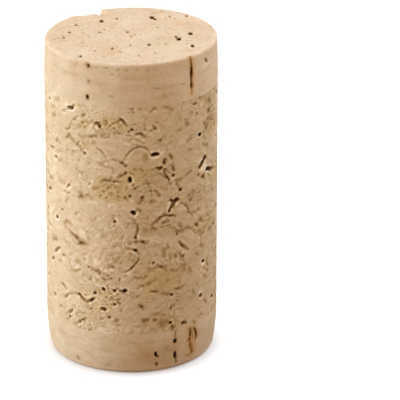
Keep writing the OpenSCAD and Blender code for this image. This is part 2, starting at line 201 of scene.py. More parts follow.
# The granules on the front, placed one by one: angle in degrees, height above the foot, half width
# and half height in millimetres, finish, and lean in degrees where there is one.
front_edge = 74     # degrees from the middle of the front to where granules fall by chance
front_granules = [
    [-60, 37.6, 1.8, 1, "cream"], [-43, 36.6, 1.6, 0.8, "smooth"], [-28, 37.8, 1.5, 0.9, "cream"],
    [-15, 38.2, 1.8, 0.7, "smooth"], [3, 37.6, 1.8, 0.8, "plain"], [22, 37.4, 2, 1.2, "smooth"],
    [38, 37.2, 1.8, 1.2, "plain"], [55, 37.6, 1.6, 1, "cream"], [70, 37.5, 1.2, 1.2, "plain"],
    [-13, 36.4, 2.2, 0.8, "ochre"], [-26, 35.6, 1, 0.8, "cream"], [-34, 36, 0.9, 0.6, "ochre"],
    [-55, 35.2, 2, 1, "smooth", 10], [-70, 35.5, 1.6, 1.1, "cream", 10], [12, 36.2, 1, 0.8, "crumb"],
    [-1, 35.7, 1.6, 0.6, "crumb"], [0, 33.8, 2, 0.45, "plain"], [-20, 33.9, 1.5, 0.8, "smooth"],
    [-38, 34.3, 1.2, 0.8, "plain"], [-31, 35, 0.8, 0.5, "cream"], [-33, 33, 0.9, 0.5, "ochre"],
    [-12, 32.7, 2, 0.9, "smooth"], [4, 31.9, 1.9, 1, "smooth"], [-26, 31.8, 1.4, 1, "smooth"],
    [-45, 32.6, 1.6, 0.8, "plain", 10], [-65, 32.3, 2, 1, "plain", 10], [24, 33.2, 1.8, 0.9, "plain"],
    [38, 33.5, 1.8, 1.2, "smooth"], [55, 32.2, 1.6, 1.2, "plain", -15], [68, 33.8, 1, 1.2, "ochre"],
    [9.5, 31.9, 0.5, 0.5, "ochre"], [-10, 30.5, 1.8, 0.6, "plain"], [5, 29.7, 1.2, 0.7, "ochre"],
    [-42, 29.9, 2, 0.9, "plain", 15], [-20, 29.8, 1.6, 0.7, "smooth"], [22, 30.2, 1.2, 0.8, "crumb"],
    [40, 30.6, 2.2, 0.9, "smooth"], [57, 30.9, 1, 0.6, "plain", -10], [-66, 29.2, 1.6, 1, "cream", 10],
    [-13, 27.3, 2.2, 1.2, "ochre"], [4, 27, 1.2, 0.8, "brown"], [13, 27, 1, 0.9, "crumb"],
    [18, 28.2, 1, 0.8, "brown"], [-30, 27.8, 1.2, 1, "plain"], [-44, 27.5, 1.6, 1, "rosy"],
    [-58, 27.5, 1.6, 1.1, "cream"], [40, 27.2, 2, 1.2, "smooth"], [55.5, 28.2, 0.7, 0.5, "rosy"],
    [66, 29.5, 1.2, 1.2, "plain"], [60, 26, 1.8, 1, "plain", -10], [-10, 25, 1.8, 0.5, "rosy", 10],
    [-24, 24.6, 1.8, 0.9, "smooth"], [-40, 24.8, 1.6, 1, "smooth"], [-35, 25.6, 0.8, 0.5, "ochre"],
    [-57, 24.7, 1.8, 1, "smooth"], [-70, 25.2, 1.4, 1, "plain"], [10, 24.9, 1.2, 0.9, "brown"],
    [20, 24.6, 1.4, 0.9, "plain"], [35, 24.8, 1, 0.9, "plain"], [48, 24.8, 1.8, 0.9, "brown"],
    [-18, 21.8, 1.8, 1.2, "plain"], [-37, 21.6, 1.4, 1.3, "rosy"], [-55, 22.4, 1.2, 1, "smooth"],
    [-66, 21.5, 1.3, 1.6, "cream"], [-4, 21.6, 1.4, 1, "plain"], [8, 22.8, 1.2, 0.8, "brown"],
    [22, 21.4, 1.8, 0.9, "brown"], [38, 21.6, 1.6, 1, "smooth"], [50, 22.4, 1.4, 1, "rosy"],
    [66, 22.8, 1.4, 1.1, "plain"], [-13, 19.6, 1.6, 1.2, "cream"], [-27, 20.6, 1.2, 1, "cream"],
    [-33, 20.2, 0.9, 0.8, "cream"], [-46, 18.4, 1.6, 0.9, "plain", -20], [-57, 19.4, 1.4, 1, "rosy"],
    [-4, 19.6, 1, 0.8, "plain"], [9, 19.6, 1.2, 0.8, "crumb"], [18, 19.4, 1.4, 1, "smooth"],
    [58, 20.3, 1.8, 1, "ochre"], [44, 18.6, 1.6, 1, "rosy", -15], [70, 19.4, 1.1, 1.2, "plain"],
    [-26, 17.6, 1.3, 1.8, "rosy", -25], [-6, 17.2, 2.2, 1.2, "brown"], [8.5, 17, 1, 1.3, "brown", -20],
    [-42, 16, 1.4, 1.1, "plain"], [-52, 14.6, 1.6, 1, "cream"], [-63, 16.6, 1.4, 1, "plain", 20],
    [20, 17.4, 1.5, 0.9, "plain"], [32, 16.8, 1.2, 1, "crumb"], [60, 17.3, 1.4, 1.6, "smooth"],
    [50, 16.3, 1.2, 0.8, "smooth"], [-20, 14.4, 2.4, 1.1, "crumb", -10], [-6, 13.9, 1.8, 0.8, "plain"],
    [4, 13, 1.4, 0.8, "plain"], [13, 13.4, 1.2, 1.4, "olive"], [26, 14.1, 2.4, 1.2, "olive"],
    [42, 13.6, 1.6, 1.2, "rosy"], [56, 13.4, 1.4, 1, "rosy", -15], [70, 14.4, 1.2, 1.4, "plain"],
    [-35, 13.6, 1.5, 1.1, "plain"], [-66, 12.6, 1.6, 1.2, "cream"], [-44, 12.9, 1.4, 0.9, "smooth"],
    [-22, 10.6, 2.6, 1.2, "honey"], [-9, 10.9, 1.6, 1.2, "crumb"], [-40, 9.7, 1.6, 0.8, "cream"],
    [-58, 10.2, 1.4, 1, "rosy"], [2, 9.6, 2.2, 1.3, "smooth"], [18, 10.2, 1.8, 1.1, "plain"],
    [36, 10.9, 2, 1, "brown"], [40, 8.6, 2.2, 0.9, "smooth"], [62, 11, 1.6, 1.2, "smooth"],
    [55, 8.2, 1.8, 0.9, "rosy"], [-14, 7.6, 1.6, 1, "plain"], [-44, 7.9, 1.6, 0.7, "crumb", 20],
    [-62, 7.4, 1.8, 0.8, "smooth"], [14, 7.5, 1.6, 1, "brown"], [22, 7.7, 1, 0.9, "ochre"],
    [-31, 7, 1.4, 0.6, "crumb", 15], [3, 7.2, 1.4, 0.7, "plain"], [70, 7.6, 1.2, 1, "plain"],
]

# Fine seams and nicks on the front, besides those that are cut into the solid: width, then angle
# in degrees and height in millimetres by turns along each, darker and darker down the list.
front_lines = strokes([
    10, [70, 8.5, 32.3, 9.5, 31.5], 12, [40, -57, 23.7, -54, 24], [40, -48, 18.1, -46.5, 17.9],
    [40, -45, 14.1, -44, 14.2], [30, -34, 17.1, -32, 17.3], [30, -58, 30.7, -54, 31.1],
    [50, -19, 20.3, -18, 20.2], [45, 30, 15, 36, 14.9, 42, 14.1], [28, 9, 18.9, 15, 19, 21, 19.2],
    [30, -49, 20.6, -46.5, 20.2, -43.5, 19.6, -41, 19.1], 14, [28, 24, 21.8, 28, 21.4, 31, 20.8],
    15, [40, -65, 36.8, -61, 36.9], [50, -55, 26.7, -50, 26.7], [30, -49, 24, -46, 24.9],
    [40, -51, 18.4, -48.5, 18.2], [50, -57.5, 14.9, -55, 14.95], [30, -34, 14.1, -33, 14.3],
    [40, -35, 34.1, -31, 34.4], [30, -44.5, 35, -42.5, 35.9], [40, 31, 35, 34, 35],
    [50, 22, 38.9, 27.5, 38.2], [30, 56, 32.9, 59, 32.3], [40, 61, 35.2, 66, 35],
    [50, 51.5, 38.6, 53, 38.5], [50, 56, 38.6, 58, 38.6], [50, -33, 28.4, -31, 28.6],
    [35, 9, 19.8, 11, 19.8], [50, 8.5, 21.6, 9.5, 21.5], [50, 11.5, 15.5, 13.5, 15.6],
    [30, -1.7, 17.3, -1, 18], [35, -7, 16.7, -6, 16.9], [35, -6.2, 18.1, -5.4, 18.3],
    [50, -28, 20.5, -27, 20.4], [30, 18.5, 20.6, 21, 20.2], [40, 21.5, 18.5, 22, 17.4],
    [30, 48, 16.4, 50, 16.1], [40, 28, 14.9, 33, 15], [30, 44.5, 11.1, 46.5, 10.7], [30, 16, 9.9, 18, 9.9],
    [40, 44.5, 25.8, 46, 25.6], [40, 31.5, 27.6, 33, 26.9], [26, -3.5, 32.1, -5, 31.6, -6.2, 31.2],
    16, [28, -36, 10.5, -32, 10.2, -29, 10.5, -25.5, 11.2], 18, [70, -66, 17.4, -61, 17.9],
    [28, -45, 10.8, -41, 11.1, -38, 11], 20, [50, -64, 35.5, -61, 35.9], [50, -60, 38.2, -56, 38.4],
    [40, -57, 29.5, -53.5, 29.7], [40, -70, 26.1, -65, 26.5], [50, -49.8, 20.6, -49.3, 20.3],
    [50, -39, 15.8, -37.5, 16], [30, -19, 14.9, -18, 14.8], [30, -29.3, 13.7, -28, 13.9],
    [35, -24.3, 14, -23.8, 13.6], [25, -36.5, 38.5, -36, 38.7], [30, -26.2, 36.6, -25.8, 36.9],
    [60, -23.5, 35.4, -21.5, 35.2], [40, -26, 33.6, -24.5, 33.8], [40, -43.5, 33.5, -41, 33.3],
    [22, 1, 36.7, 3, 36.7], [25, 8.3, 36.8, 8.7, 36], [22, -2, 34.3, 1, 34.6, 5, 34.3, 8.3, 33.95],
    [22, -13, 31.6, -9, 31.5, -6.5, 31.3], [35, 18, 34.2, 20, 34.3], [50, 38.5, 35.8, 39.8, 35.7],
    [45, 39.8, 33.3, 43, 33.6], [90, 61, 37.8, 63.5, 37.3], [40, 55, 31.9, 60, 31.4],
    [30, 41, 31.9, 44, 31.9], [30, -14.5, 28.7, -13, 29], [35, 11.6, 27.7, 12.8, 27.5],
    [30, 5, 25.4, 6, 25.8], [35, -28, 25.7, -26, 25.5], [35, -31, 25.9, -29, 26],
    [40, -37.5, 25.3, -35, 25.5], [30, -37, 29.1, -34, 28.9], [40, -26, 27.1, -23, 27.3],
    [25, -4, 22.5, -0.5, 22.4], [35, 1.3, 22.9, 1.7, 22.4], [40, 36, 20.5, 40, 20.7, 44, 20.4],
    [60, 51, 21.2, 53.5, 21.1], [40, 26, 17.2, 26.5, 16.7], [30, 31, 17.3, 33.5, 17.3],
    [30, 35, 16.7, 37, 16.8], [35, 54, 19.1, 58, 18.8], [60, 62, 18.9, 67, 18.9], [40, 35, 15.4, 37, 15.4],
    [50, 41, 14.8, 43, 14], [40, 24, 13.7, 25.2, 13.7], [30, 29, 9.7, 30, 9.9],
    [25, 29.5, 9.1, 32, 9.1, 35, 9], [25, 29.3, 9, 29, 8.2], [40, 45, 6.5, 47, 6.1],
    [50, 58, 8.8, 60, 8.3], [50, 56.5, 12.5, 59.5, 12.2], [40, 57, 13.8, 58, 13.6],
    [30, -7.7, 7.5, -7, 7.5], [30, -7.3, 9.7, -6.7, 9.7], [25, -35.5, 8.4, -34.5, 8.4],
    [25, -34.5, 9.2, -33.5, 9.2], [40, 41.5, 24.7, 43, 24.7], [40, 32.5, 27.9, 34, 27.8],
    [30, 14.5, 30.1, 17, 30], [40, 25.5, 27.8, 26.5, 27.7], [30, 21, 23.5, 23, 23.5],
    [35, 45, 22.7, 47.5, 22.5], [35, 49, 22.8, 51, 22.7], [35, 8, 19.35, 11, 19.8],
    [30, 8.5, 33.3, 10.5, 33, 12.5, 32.4], [26, -45, 34, -41, 33.3, -36, 32.6, -33, 32],
    [28, -53, 11.5, -49.5, 11.2], 22, [32, 13.5, 22.1, 16, 22.45, 19, 22.75],
    [28, 17, 16.2, 20, 15.8, 23.5, 15.1], [32, 35.5, 12.3, 38, 12.5],
    [25, 16.5, 29.8, 19.5, 29.3, 22, 28.8], [28, -9, 29, -6, 29.4, -3.2, 29.7],
    [25, -23, 33, -20, 32.5, -17, 31.8], [25, 35, 24.7, 38.5, 24, 43, 22.6],
    24, [28, 4.2, 21.8, 3.2, 20.9], [25, 3, 20, 6, 19.7, 9.5, 19.4], 25, [40, -59.5, 32.3, -57.5, 32.5],
    [22, -50.5, 25.4, -49, 25.6], [50, -50.5, 20.8, -48, 21.2, -45.5, 21.1], [60, -39.5, 19.4, -37, 19.3],
    [30, -20, 14.3, -19, 14.1, -17.5, 14.1], [30, -16.5, 14.6, -15, 14.6], [30, -42, 38.1, -40.2, 38.4],
    [30, -40.5, 36.4, -38.5, 36.8, -36.8, 37], [40, -19.8, 34.8, -17.5, 35.1],
    [35, -48, 33.4, -46, 33.6, -45, 33.9], [50, 57.5, 34.8, 59.5, 34], [35, 3, 27.6, 4.4, 27.8],
    [30, 8, 28.2, 11, 28], [30, 13.5, 27, 15, 27, 17, 26.7], [35, 13, 25.5, 15, 25.5],
    [40, -2.2, 19.8, -0.8, 19.6], [45, 14, 21.6, 15, 21.4], [30, -8.3, 14.1, -7.9, 14.4],
    [50, 31.5, 20.6, 34.5, 20.5], [40, 24, 19, 24.5, 18.4], [35, 53, 17.3, 55.8, 16.9],
    [40, 69, 19.3, 73, 19], [35, 59.5, 14.2, 61.5, 13.8], [35, 20, 11.8, 26, 11.6],
    [50, 5.5, 10.3, 7.5, 10.1], [40, 8, 8.2, 10, 8.1], [80, 20, 7.4, 23, 7.5], [40, 60.8, 13.1, 62, 12.9],
    [35, 49.5, 27.8, 50.5, 27.8], [50, 54.5, 27.3, 56, 27.1], [35, 39, 28.5, 43, 28.8],
    [30, 22, 29.5, 23.5, 28.8], [30, 22.5, 30, 24.5, 29.6], [30, 21, 22.3, 25, 22.4],
    [30, 40, 23, 44, 22.4], [28, -3, 18.85, 0, 18.75], [35, 6, 19.75, 8, 19.35], [28, 30, 12.2, 34, 12],
    [28, 30.5, 28, 32, 27.2, 33.2, 26.6], [26, -9.5, 36.9, -7.5, 37.3, -5, 37, -2.8, 36.5],
    [28, -47.5, 7.8, -45.5, 8.2, -43.5, 8.5], 28, [28, 3, 18.5, 5.2, 18.05],
    30, [30, -47, 26.3, -45, 26.8], [22, -47.5, 25.4, -45, 25.6], [60, -36.5, 18.6, -32, 18.8],
    [35, -27, 15.4, -26, 15.2], [35, -24, 15.2, -22.5, 15, -21.5, 14.7], [35, -33.8, 37.1, -31.8, 37.4],
    [35, -25.4, 35.9, -24.8, 35.8], [25, -18, 34.6, -16, 34.7], [25, -15.3, 34.8, -14.8, 35.1],
    [40, -28.5, 34.4, -26, 34.6, -23.5, 34.7], [25, -48, 34.6, -46, 34.7, -44.5, 35],
    [35, -38.3, 33, -37.3, 33.2], [30, -35, 32.2, -34, 32.4], [25, -12.5, 36.7, -10, 36.9],
    [30, 12.4, 38.3, 13.3, 38.4], [25, 4.8, 38.7, 5.8, 38.8], [25, 0, 38.9, 1, 38.9],
    [35, 22.5, 31.4, 22, 30.7], [50, 61, 36.4, 63, 36.3], [35, -18.5, 28.4, -16.5, 28.5],
    [30, -4.2, 26.1, -2.5, 25.8], [35, 2.8, 19.7, 3.8, 19.6], [35, 1.5, 14.6, 3.5, 14.4, 6.5, 14.5],
    [40, 33.5, 21.5, 34.5, 21.1], [40, 46.5, 20.8, 49.5, 20.5], [35, 13.5, 12.4, 17, 12.2],
    [30, 6, 13.3, 8, 13.4], [40, 10.5, 13.6, 11.5, 13.7], [35, 14.5, 8.1, 15.5, 8.1],
    [25, -10, 12.9, -9.2, 12.9], [30, -21.3, 8.2, -20.3, 8.2], [30, -10.2, 8.2, -9.4, 8.2],
    [32, 3, 35.3, 5.5, 35.35, 8.8, 34.95], [25, 4, 22.3, 3.4, 21.4], 35, [30, -16.6, 36.6, -16, 36.8],
    [25, -2, 35.6, -1, 35.6], [30, 15.3, 36, 15.9, 35.9], [30, 14.8, 38.7, 15.8, 38.7],
    [35, 25.8, 31.9, 27.8, 31.3], [40, 16.8, 26.8, 18.5, 26.3], [35, 26.7, 9.4, 27.3, 9.8],
    [40, 27.8, 6.7, 29.3, 6.6], [25, -16.3, 12.9, -15.7, 12.8], [25, -9.3, 10.9, -8, 10.6],
    [35, 27.5, 30.3, 29, 29.6], [30, 30.6, 25.2, 32.6, 25.2], [25, 26, 25.3, 29, 25.1],
    40, [30, -4.3, 30.9, -3.4, 30.8], [25, -11.5, 28.4, -8.5, 28.4], [30, 3.5, 24.5, 5.5, 24.25],
    [35, 36, 6.8, 38.8, 6.7], [25, -8, 12.6, -5.5, 12.4], [25, -9.5, 11.2, -7.8, 11.45],
    [30, 26.3, 23.1, 29.7, 22.9], [30, 33.6, 26.5, 34.5, 26.5], [35, -7, 31.2, -6, 31.1],
    [30, 63, 27.8, 67, 27.3], 45, [30, -24, 36.4, -23, 36.55, -21.5, 36.5], [30, 23.5, 28.8, 25.2, 28.3],
    50, [35, 17, 30.2, 19.8, 30.2], [45, 51, 28.8, 55.5, 29.3], [30, 59.8, 28, 62.5, 27.8],
    # The darkest marks here lie in open pits, where their darkness is painted shade.
    60, [40, 56.5, 29.8, 58.5, 29.7], 80, [26, 13.7, 32.15, 17.9, 32.25],
], degree)

# Round the back such marks are short strokes by chance, most of them nearly level.
back_strokes = 170
back_chance = np.random.default_rng(31)
for stroke in range(back_strokes):
    spot, height = back_chance.uniform(front_edge, 360 - front_edge), back_chance.uniform(6.3, 38.8)
    spot = spot if spot < 180 else spot - 360
    run = back_chance.uniform(0.4, 3.2)
    rise = back_chance.normal(0, 0.07) * run
    bend = back_chance.normal(0, 0.04) * run
    spots = [(spot - run, height - rise), (spot, height + bend), (spot + run, height + rise)]
    darkness, width = back_chance.uniform(0.08, 0.26), back_chance.uniform(0.2, 0.36)
    front_lines.append((darkness, width, np.array(spots) * (degree, 1)))

# Pale nicks on the front, where cork is freshly torn, and painted highlights on the lips beside pits,
# listed in the same way.
front_flecks_and_highlights = strokes([
    25, [35, 35.5, 17.6, 39, 17.2], 30, [30, 28.4, 10.4, 29.2, 10.3], [30, 27.8, 7.6, 28.2, 7.2],
    [40, -58, 20.7, -56.5, 21.3], [35, -26, 16.2, -24.5, 16.7], [50, -40, 32.5, -38.5, 32.6],
    [30, 3.8, 25.4, 6, 25.9, 9.5, 26.1], [35, 24, 24, 25, 25], 35, [40, -32.5, 31.3, -31.5, 31.3],
    [40, 6, 18, 7.3, 18.2], [50, 52, 15.2, 53, 15.1], [30, 33.4, 19.4, 35.4, 18.9],
    [30, 26.8, 11, 28.3, 10.9], [30, -43.4, 7.6, -42.6, 7.6], [30, -41.4, 7.4, -39.2, 7],
    [35, -36.6, 14.4, -36, 14.6], [40, -59, 16, -56, 16.1], [35, -46.5, 26, -44.5, 26.3],
    [40, -24.4, 14.5, -23.6, 14.4], [30, -9.2, 22.9, -8.8, 22.4], 40, [40, 19.6, 32.3, 20.6, 32.3],
    [35, 14.3, 17, 15, 17], [40, -2.8, 15.2, -1, 15.4], [40, 50.5, 29.5, 53, 29.8],
    [35, 46.5, 20.3, 50, 19.9], [30, -49.5, 10.8, -48.5, 10.8], [30, -45, 8.5, -44, 8.4],
    [35, -49.8, 22.6, -48, 22.7], [25, -14, 11.6, -11, 12.1], [35, 15.5, 38.3, 16.5, 38.2],
    45, [40, 24.5, 24.9, 26, 24.4], 50, [40, -23.4, 36.1, -23, 36.1], [30, 13, 32.75, 18, 32.8],
    [30, 1, 24.75, 3, 24.25], [40, 56, 14.2, 58.5, 14.1], [45, 6.2, 12.8, 7, 12.9],
    60, [40, -32.4, 32.4, -31.6, 32.4], [30, 13.5, 31.75, 18.5, 31.85], [35, 0.7, 28.9, 1.3, 28.4],
    [35, 2.2, 23.3, 3.6, 23.8], [35, 4.1, 20.6, 4.7, 20.4], 70, [40, 50.5, 10.5, 53.5, 10.35],
    100, [40, -1.2, 27.85, -0.8, 27.85], [90, 54, 28.5, 58.5, 28.6],
], degree)

# Round the back the granules are a jittered, staggered spread, each leaning its own way.
chance = np.random.default_rng(7)
granule_width, granule_height = 3.1 * mm, 1.9 * mm
front_reach = radians(front_edge) * radius
granules, looks = [], []
for angle, height, half_width, half_height, finish, *lean in front_granules:
    place = [radians(angle) * radius, height * mm - body_low.z]
    granules.append([*place, half_width * mm, half_height * mm, radians(sum(lean))])
    looks.append(finishes[finish])
for row in range(int(body_height / granule_height) + 1):
    count = round(girth / granule_width)
    for column in range(count):
        spot = (column + row % 2 / 2 + chance.uniform(-0.38, 0.38)) * girth / count
        grain = [
            spot,
            (row + 0.5 + chance.uniform(-0.4, 0.4)) * granule_height,
            granule_width * chance.uniform(0.3, 0.75),
            granule_height * chance.uniform(0.3, 0.65),
            radians(chance.normal(0, 24)),
        ]
        look = chance.choice(list(finishes), p=(0.38, 0.14, 0.1, 0.1, 0.06, 0.1, 0.06, 0.06, 0))
        if front_reach < spot % girth < girth - front_reach:
            granules.append(grain)
            looks.append(finishes[look])
granules, looks = np.array(granules), np.array(looks)
granule_count = len(granules)

# Each granule grows outwards from its middle, and stops at pits, open seams and its neighbours.

def swell(cells, seed):
    """Smooth chance values over the fine grid, with so many swells round it and up it."""
    return soft_noise(fine_columns, fine_rows, cells, seed)


wander = 0.35 * mm      # how far a granule's outline strays from an oval
shake = 0.1             # how far drawn marks stray from their lines, in millimetres
broad, close = (60, 27), (190, 85)      # swells round the side and up it
along = fine_along[:, None] + wander * swell(broad, 1) + 0.35 * wander * swell(close, 2)
up = fine_up[None, :] + wander * swell(broad, 3) + 0.35 * wander * swell(close, 4)
from_front = (fine_along + girth / 2) % girth - girth / 2
foot_up = body_low.z + fine_up
shaken = (
    from_front[:, None] / mm + shake * swell(close, 5),
    foot_up[None, :] / mm + shake * swell(close, 6),
)
line_dark = drawn(front_lines, *shaken)
fleck_and_highlight = drawn(front_flecks_and_highlights, *shaken)
lean_cos, lean_sin = np.cos(granules[:, 4]), np.sin(granules[:, 4])


def own_frame(owner):
    """Each point's place in its granule's own frame: along the grain and across it."""
    dx = (along - granules[owner, 0] + girth / 2) % girth - girth / 2
    dy = up - granules[owner, 1]
    return (
        dx * lean_cos[owner] + dy * lean_sin[owner],
        dy * lean_cos[owner] - dx * lean_sin[owner],
    )


def from_middle(owner):
    lengthwise, crosswise = own_frame(owner)
    far = np.hypot(lengthwise / granules[owner, 2], crosswise / granules[owner, 3])
    return np.where(owner < 0, np.inf, far)


def grow(owner, far, room, steps):
    """Lets each granule take the points next to it that lie nearer to it than to their owner."""
    for step in range(steps):
        for shift, axis in ((1, 0), (-1, 0), (1, 1), (-1, 1)):
            offer = np.roll(owner, shift, axis)
            if axis == 1:
                offer[:, 0 if shift == 1 else -1] = -1
            offered = from_middle(offer)
            better = (offered < far) & room
            owner = np.where(better, offer, owner)
            far = np.where(better, offered, far)
    return owner, far


owner = np.full((fine_columns, fine_rows), -1)
seed_column = np.round(granules[:, 0] / girth * fine_columns).astype(int) % fine_columns
seed_row = np.clip(np.round(granules[:, 1] / body_height * fine_rows).astype(int), 0, fine_rows - 1)
owner[seed_column, seed_row] = np.arange(granule_count)
far = from_middle(owner)
far[seed_column, seed_row] = 0
wall_depth, wall_darkness = 0.12 * mm, 0.2      # what stops a granule
growing, filling = 60, 12                       # steps, first up to the walls and then into them
is_open = (body_depth > wall_depth) | (line_dark > wall_darkness)
owner, far = grow(owner, far, ~is_open, growing)
owner, far = grow(owner, far, owner < 0, filling)

# Where two granules meet there is a seam, tight or open by pairs of neighbours.
kinds_of_pair = 4096
pair_chance = np.random.default_rng(11).random(kinds_of_pair)
tight, opens_from = 0.05, 0.72
seam = np.zeros(owner.shape)
edge = np.zeros(owner.shape)
for axis in (0, 1):
    other = np.roll(owner, -1, axis)
    meets = other != owner
    if axis == 1:
        meets[:, -1] = False
    openness = pair_chance[(owner * 31 + other * 31 + owner * other) % kinds_of_pair]
    edge = np.maximum(edge, meets)
    seam = np.maximum(seam, meets * (tight + (1 - tight) * eased(openness, opens_from, 1)))
for fading in (0.9, 0.7):
    for axis in (0, 1):
        seam = np.maximum(seam, fading * np.maximum(np.roll(seam, 1, axis), np.roll(seam, -1, axis)))

patchy = 0.5 + 0.5 * swell((150, 67), 12)
seam = softened(block_mean(seam * eased(patchy, 0.25, 0.8)), 1)
patchy = block_mean(patchy)
front_across = block_mean(np.repeat(from_front[:, None], fine_rows, axis=1)) / mm
front_up = block_mean(np.repeat(foot_up[None, :], fine_columns, axis=0)) / mm
front_angle = np.degrees(front_across * mm / radius)
line = block_mean(line_dark)

# Each granule's own grain fades out at its edge. Grain and hollows are painted fainter on the left,
# the side the lamp lights, as painted light.
leftward = eased(-front_angle, 20, 55)
left_grain_fade, left_hollow_fade = 0.35, 0.33
grain = (1 - np.minimum(6 * softened(block_mean(edge), 1), 1)) * (1 - left_grain_fade * leftward)

# Hollows of the front that are full of dust, so that less of their painted shade shows: angle,
# height, reach in millimetres, and the share of their darkness that is left.
filled = [
    (-61, 15.8, 2.2, 0.65), (-47, 10.5, 1, 0.4), (-38, 7.1, 1.2, 0.5), (36, 18.4, 1.8, 0.55),
    (-50, 37.3, 1, 0.5), (0, 36, 0.6, 0.6), (-32.5, 10.4, 0.9, 0.35), (38.6, 17.8, 0.4, 0.5),
    (29.5, 25.1, 1.3, 0.65), (54.5, 29.1, 1.4, 0.75), (46.5, 38.2, 0.8, 0.45), (28.5, 28.8, 0.6, 0.7),
    (34, 26.5, 0.6, 0.65), (31.3, 20.1, 0.5, 0.7), (14.5, 16.6, 0.5, 0.9), (4, 33.3, 2, 0.8),
    (22, 23.1, 2.4, 0.8), (68.5, 27.5, 1.3, 0.5), (7, 26.2, 0.8, 0.55), (-4, 29.7, 0.6, 0.65),
    (22, 31, 0.8, 0.6), (-64, 9.3, 1.3, 0.6), (-53, 22.6, 0.8, 0.6), (-33.5, 36.2, 0.5, 0.65),
    (-56, 8.1, 0.8, 0.6), (-21.5, 36.1, 0.6, 0.75), (-19.5, 9.6, 1, 0.8), (-11, 22.6, 0.5, 0.75),
    (53, 9.8, 0.9, 0.8), (-5, 12.6, 0.5, 0.9), (-32, 31.9, 0.5, 0.75), (-29.5, 15.5, 0.4, 0.7),
    (-36, 18.7, 0.8, 0.6), (-37, 7.4, 1.5, 0.75), (48.5, 20.5, 0.7, 0.7), (-1, 28.1, 0.3, 0.6),
    (16, 32.6, 0.25, 0.6), (-41, 19, 2.2, 0.6), (2.5, 20.4, 0.6, 0.7), (-28.5, 27.6, 0.5, 0.6),
    (-44, 16.7, 0.6, 0.5), (-50, 21, 1.2, 0.7),
]
# The hollows' darkness is partly brown dust and partly painted shade, with deeper pits painted blacker.
_, left_depth, hollow_dark = hollow_dust_and_shade(body_depth, block_mean, 3)
hollow_dark = hollow_dark * less_by_dust(filled, front_across, front_up) * (1 - left_hollow_fade * leftward)
black_from = 0.7
hollow_dark = hollow_dark * np.where(hollow_dark > black_from, 1, 0.75 + 0.5 * patchy)
line_shown = np.minimum(line * (1.15 + 0.7 * patchy), 1)
dark = 1 - (1 - np.minimum(hollow_dark, 1)) * (1 - line_shown) * (1 - 0.5 * seam)

# Each granule has its own tone and its own grain, and the tone is darkened towards the right of the front
# as painted shade.
lengthwise, crosswise = own_frame(owner)
tone_spread, tone_most = 0.014, 0.03
granule_tone = np.random.default_rng(21).normal(0, tone_spread, granule_count)
granule_tone = granule_tone.clip(-tone_most, tone_most) + looks[:, 0]
# Painted shade: the granules round the front right, away from the lamp, are made darker.
brown, right_shade_middle, right_shade_reach = 0.05, radians(55), radians(32)
granule_tone = granule_tone - brown * np.exp(-((granules[:, 0] / radius - right_shade_middle) / right_shade_reach) ** 2)
granule_name = np.random.default_rng(28).uniform(0, 60, granule_count)
layer_bend = np.random.default_rng(24).uniform(-120, 120, granule_count)
layer_lean = np.random.default_rng(25).normal(0, 0.4, granule_count)
layer_place = crosswise + layer_lean[owner] * lengthwise + layer_bend[owner] * lengthwise ** 2

middle = fine // 2
crumb = softened(block_mean(looks[owner, 3]), 2)
body_marks = {
    "tone": softened(block_mean(granule_tone[owner]), 1),
    "ochre": softened(block_mean(looks[owner, 1]), 6),
    "rosy": softened(block_mean(looks[owner, 2]), 4),
    "crumb": crumb,
    "dark": dark,
    "pale": block_mean(fleck_and_highlight),
    "grain": grain,
    "grain_along": lengthwise[middle::fine, middle::fine] / mm,
    "grain_across": layer_place[middle::fine, middle::fine] / mm,
    "granule": granule_name[owner][middle::fine, middle::fine],
}

# How far the surface lies in from the true round: hollows, then seams, then granules that stand
# a little lower than others, and the grit that grinding leaves.
seam_depth, granule_step, grit_depth = 0.1 * mm, 0.012 * mm, 0.024 * mm
grit = soft_noise(body_columns, body_rows, (230, 103), 13)
grit = grit + soft_noise(body_columns, body_rows, (110, 50), 14)
relief = left_depth + seam_depth * (1 - (1 - line) * (1 - 0.6 * seam))
relief = relief + granule_step * block_mean(np.random.default_rng(27).random(granule_count)[owner])
relief = relief + grit_depth * (0.3 + crumb) * (1 + grit)


def side_sheet(numbers, uv_foot, uv_top):
    """Quads between rows of points that close round the side, with their places on the bake map."""
    rows, columns = numbers.shape
    beside = np.roll(numbers, -1, axis=1)
    faces = np.stack([numbers[:-1], beside[:-1], beside[1:], numbers[1:]], axis=2).reshape(-1, 4)
    u = np.arange(columns + 1) / columns
    v = uv_foot + (uv_top - uv_foot) * np.arange(rows) / (rows - 1)
    corners = np.zeros((rows - 1, columns, 4, 2))
    corners[:, :, (0, 3), 0] = u[:-1, None]
    corners[:, :, (1, 2), 0] = u[1:, None]
    corners[:, :, (0, 1), 1] = v[:-1, None, None]
    corners[:, :, (2, 3), 1] = v[1:, None, None]
    return faces, corners.reshape(-1, 4, 2)


def fan_sheet(ring, middle, uv_middle, uv_radius, upward):
    """Triangles from a ring to its middle point: a glue face, which nothing shows."""
    columns = len(ring)
    ahead = np.roll(ring, -1)
    pair = (ring, ahead) if upward else (ahead, ring)
    faces = np.stack([*pair, np.full(columns, middle)], axis=1)
    turn = np.arange(columns + 1) * 2 * pi / columns
    place = np.array(uv_middle) + uv_radius * np.stack([np.cos(turn), np.sin(turn)], axis=1)
    near, next_on = (place[:-1], place[1:]) if upward else (place[1:], place[:-1])
    return faces, np.stack([near, next_on, np.broadcast_to(uv_middle, near.shape)], axis=1)


lip_highlight_steps = 3       # how many mesh steps the painted highlight on a hollow's lip reaches


def edge_ends(mesh):
    """The two point numbers of each edge."""
    ends = np.zeros(len(mesh.edges) * 2, int)
    mesh.edges.foreach_get("vertices", ends)
    return ends.reshape(-1, 2)


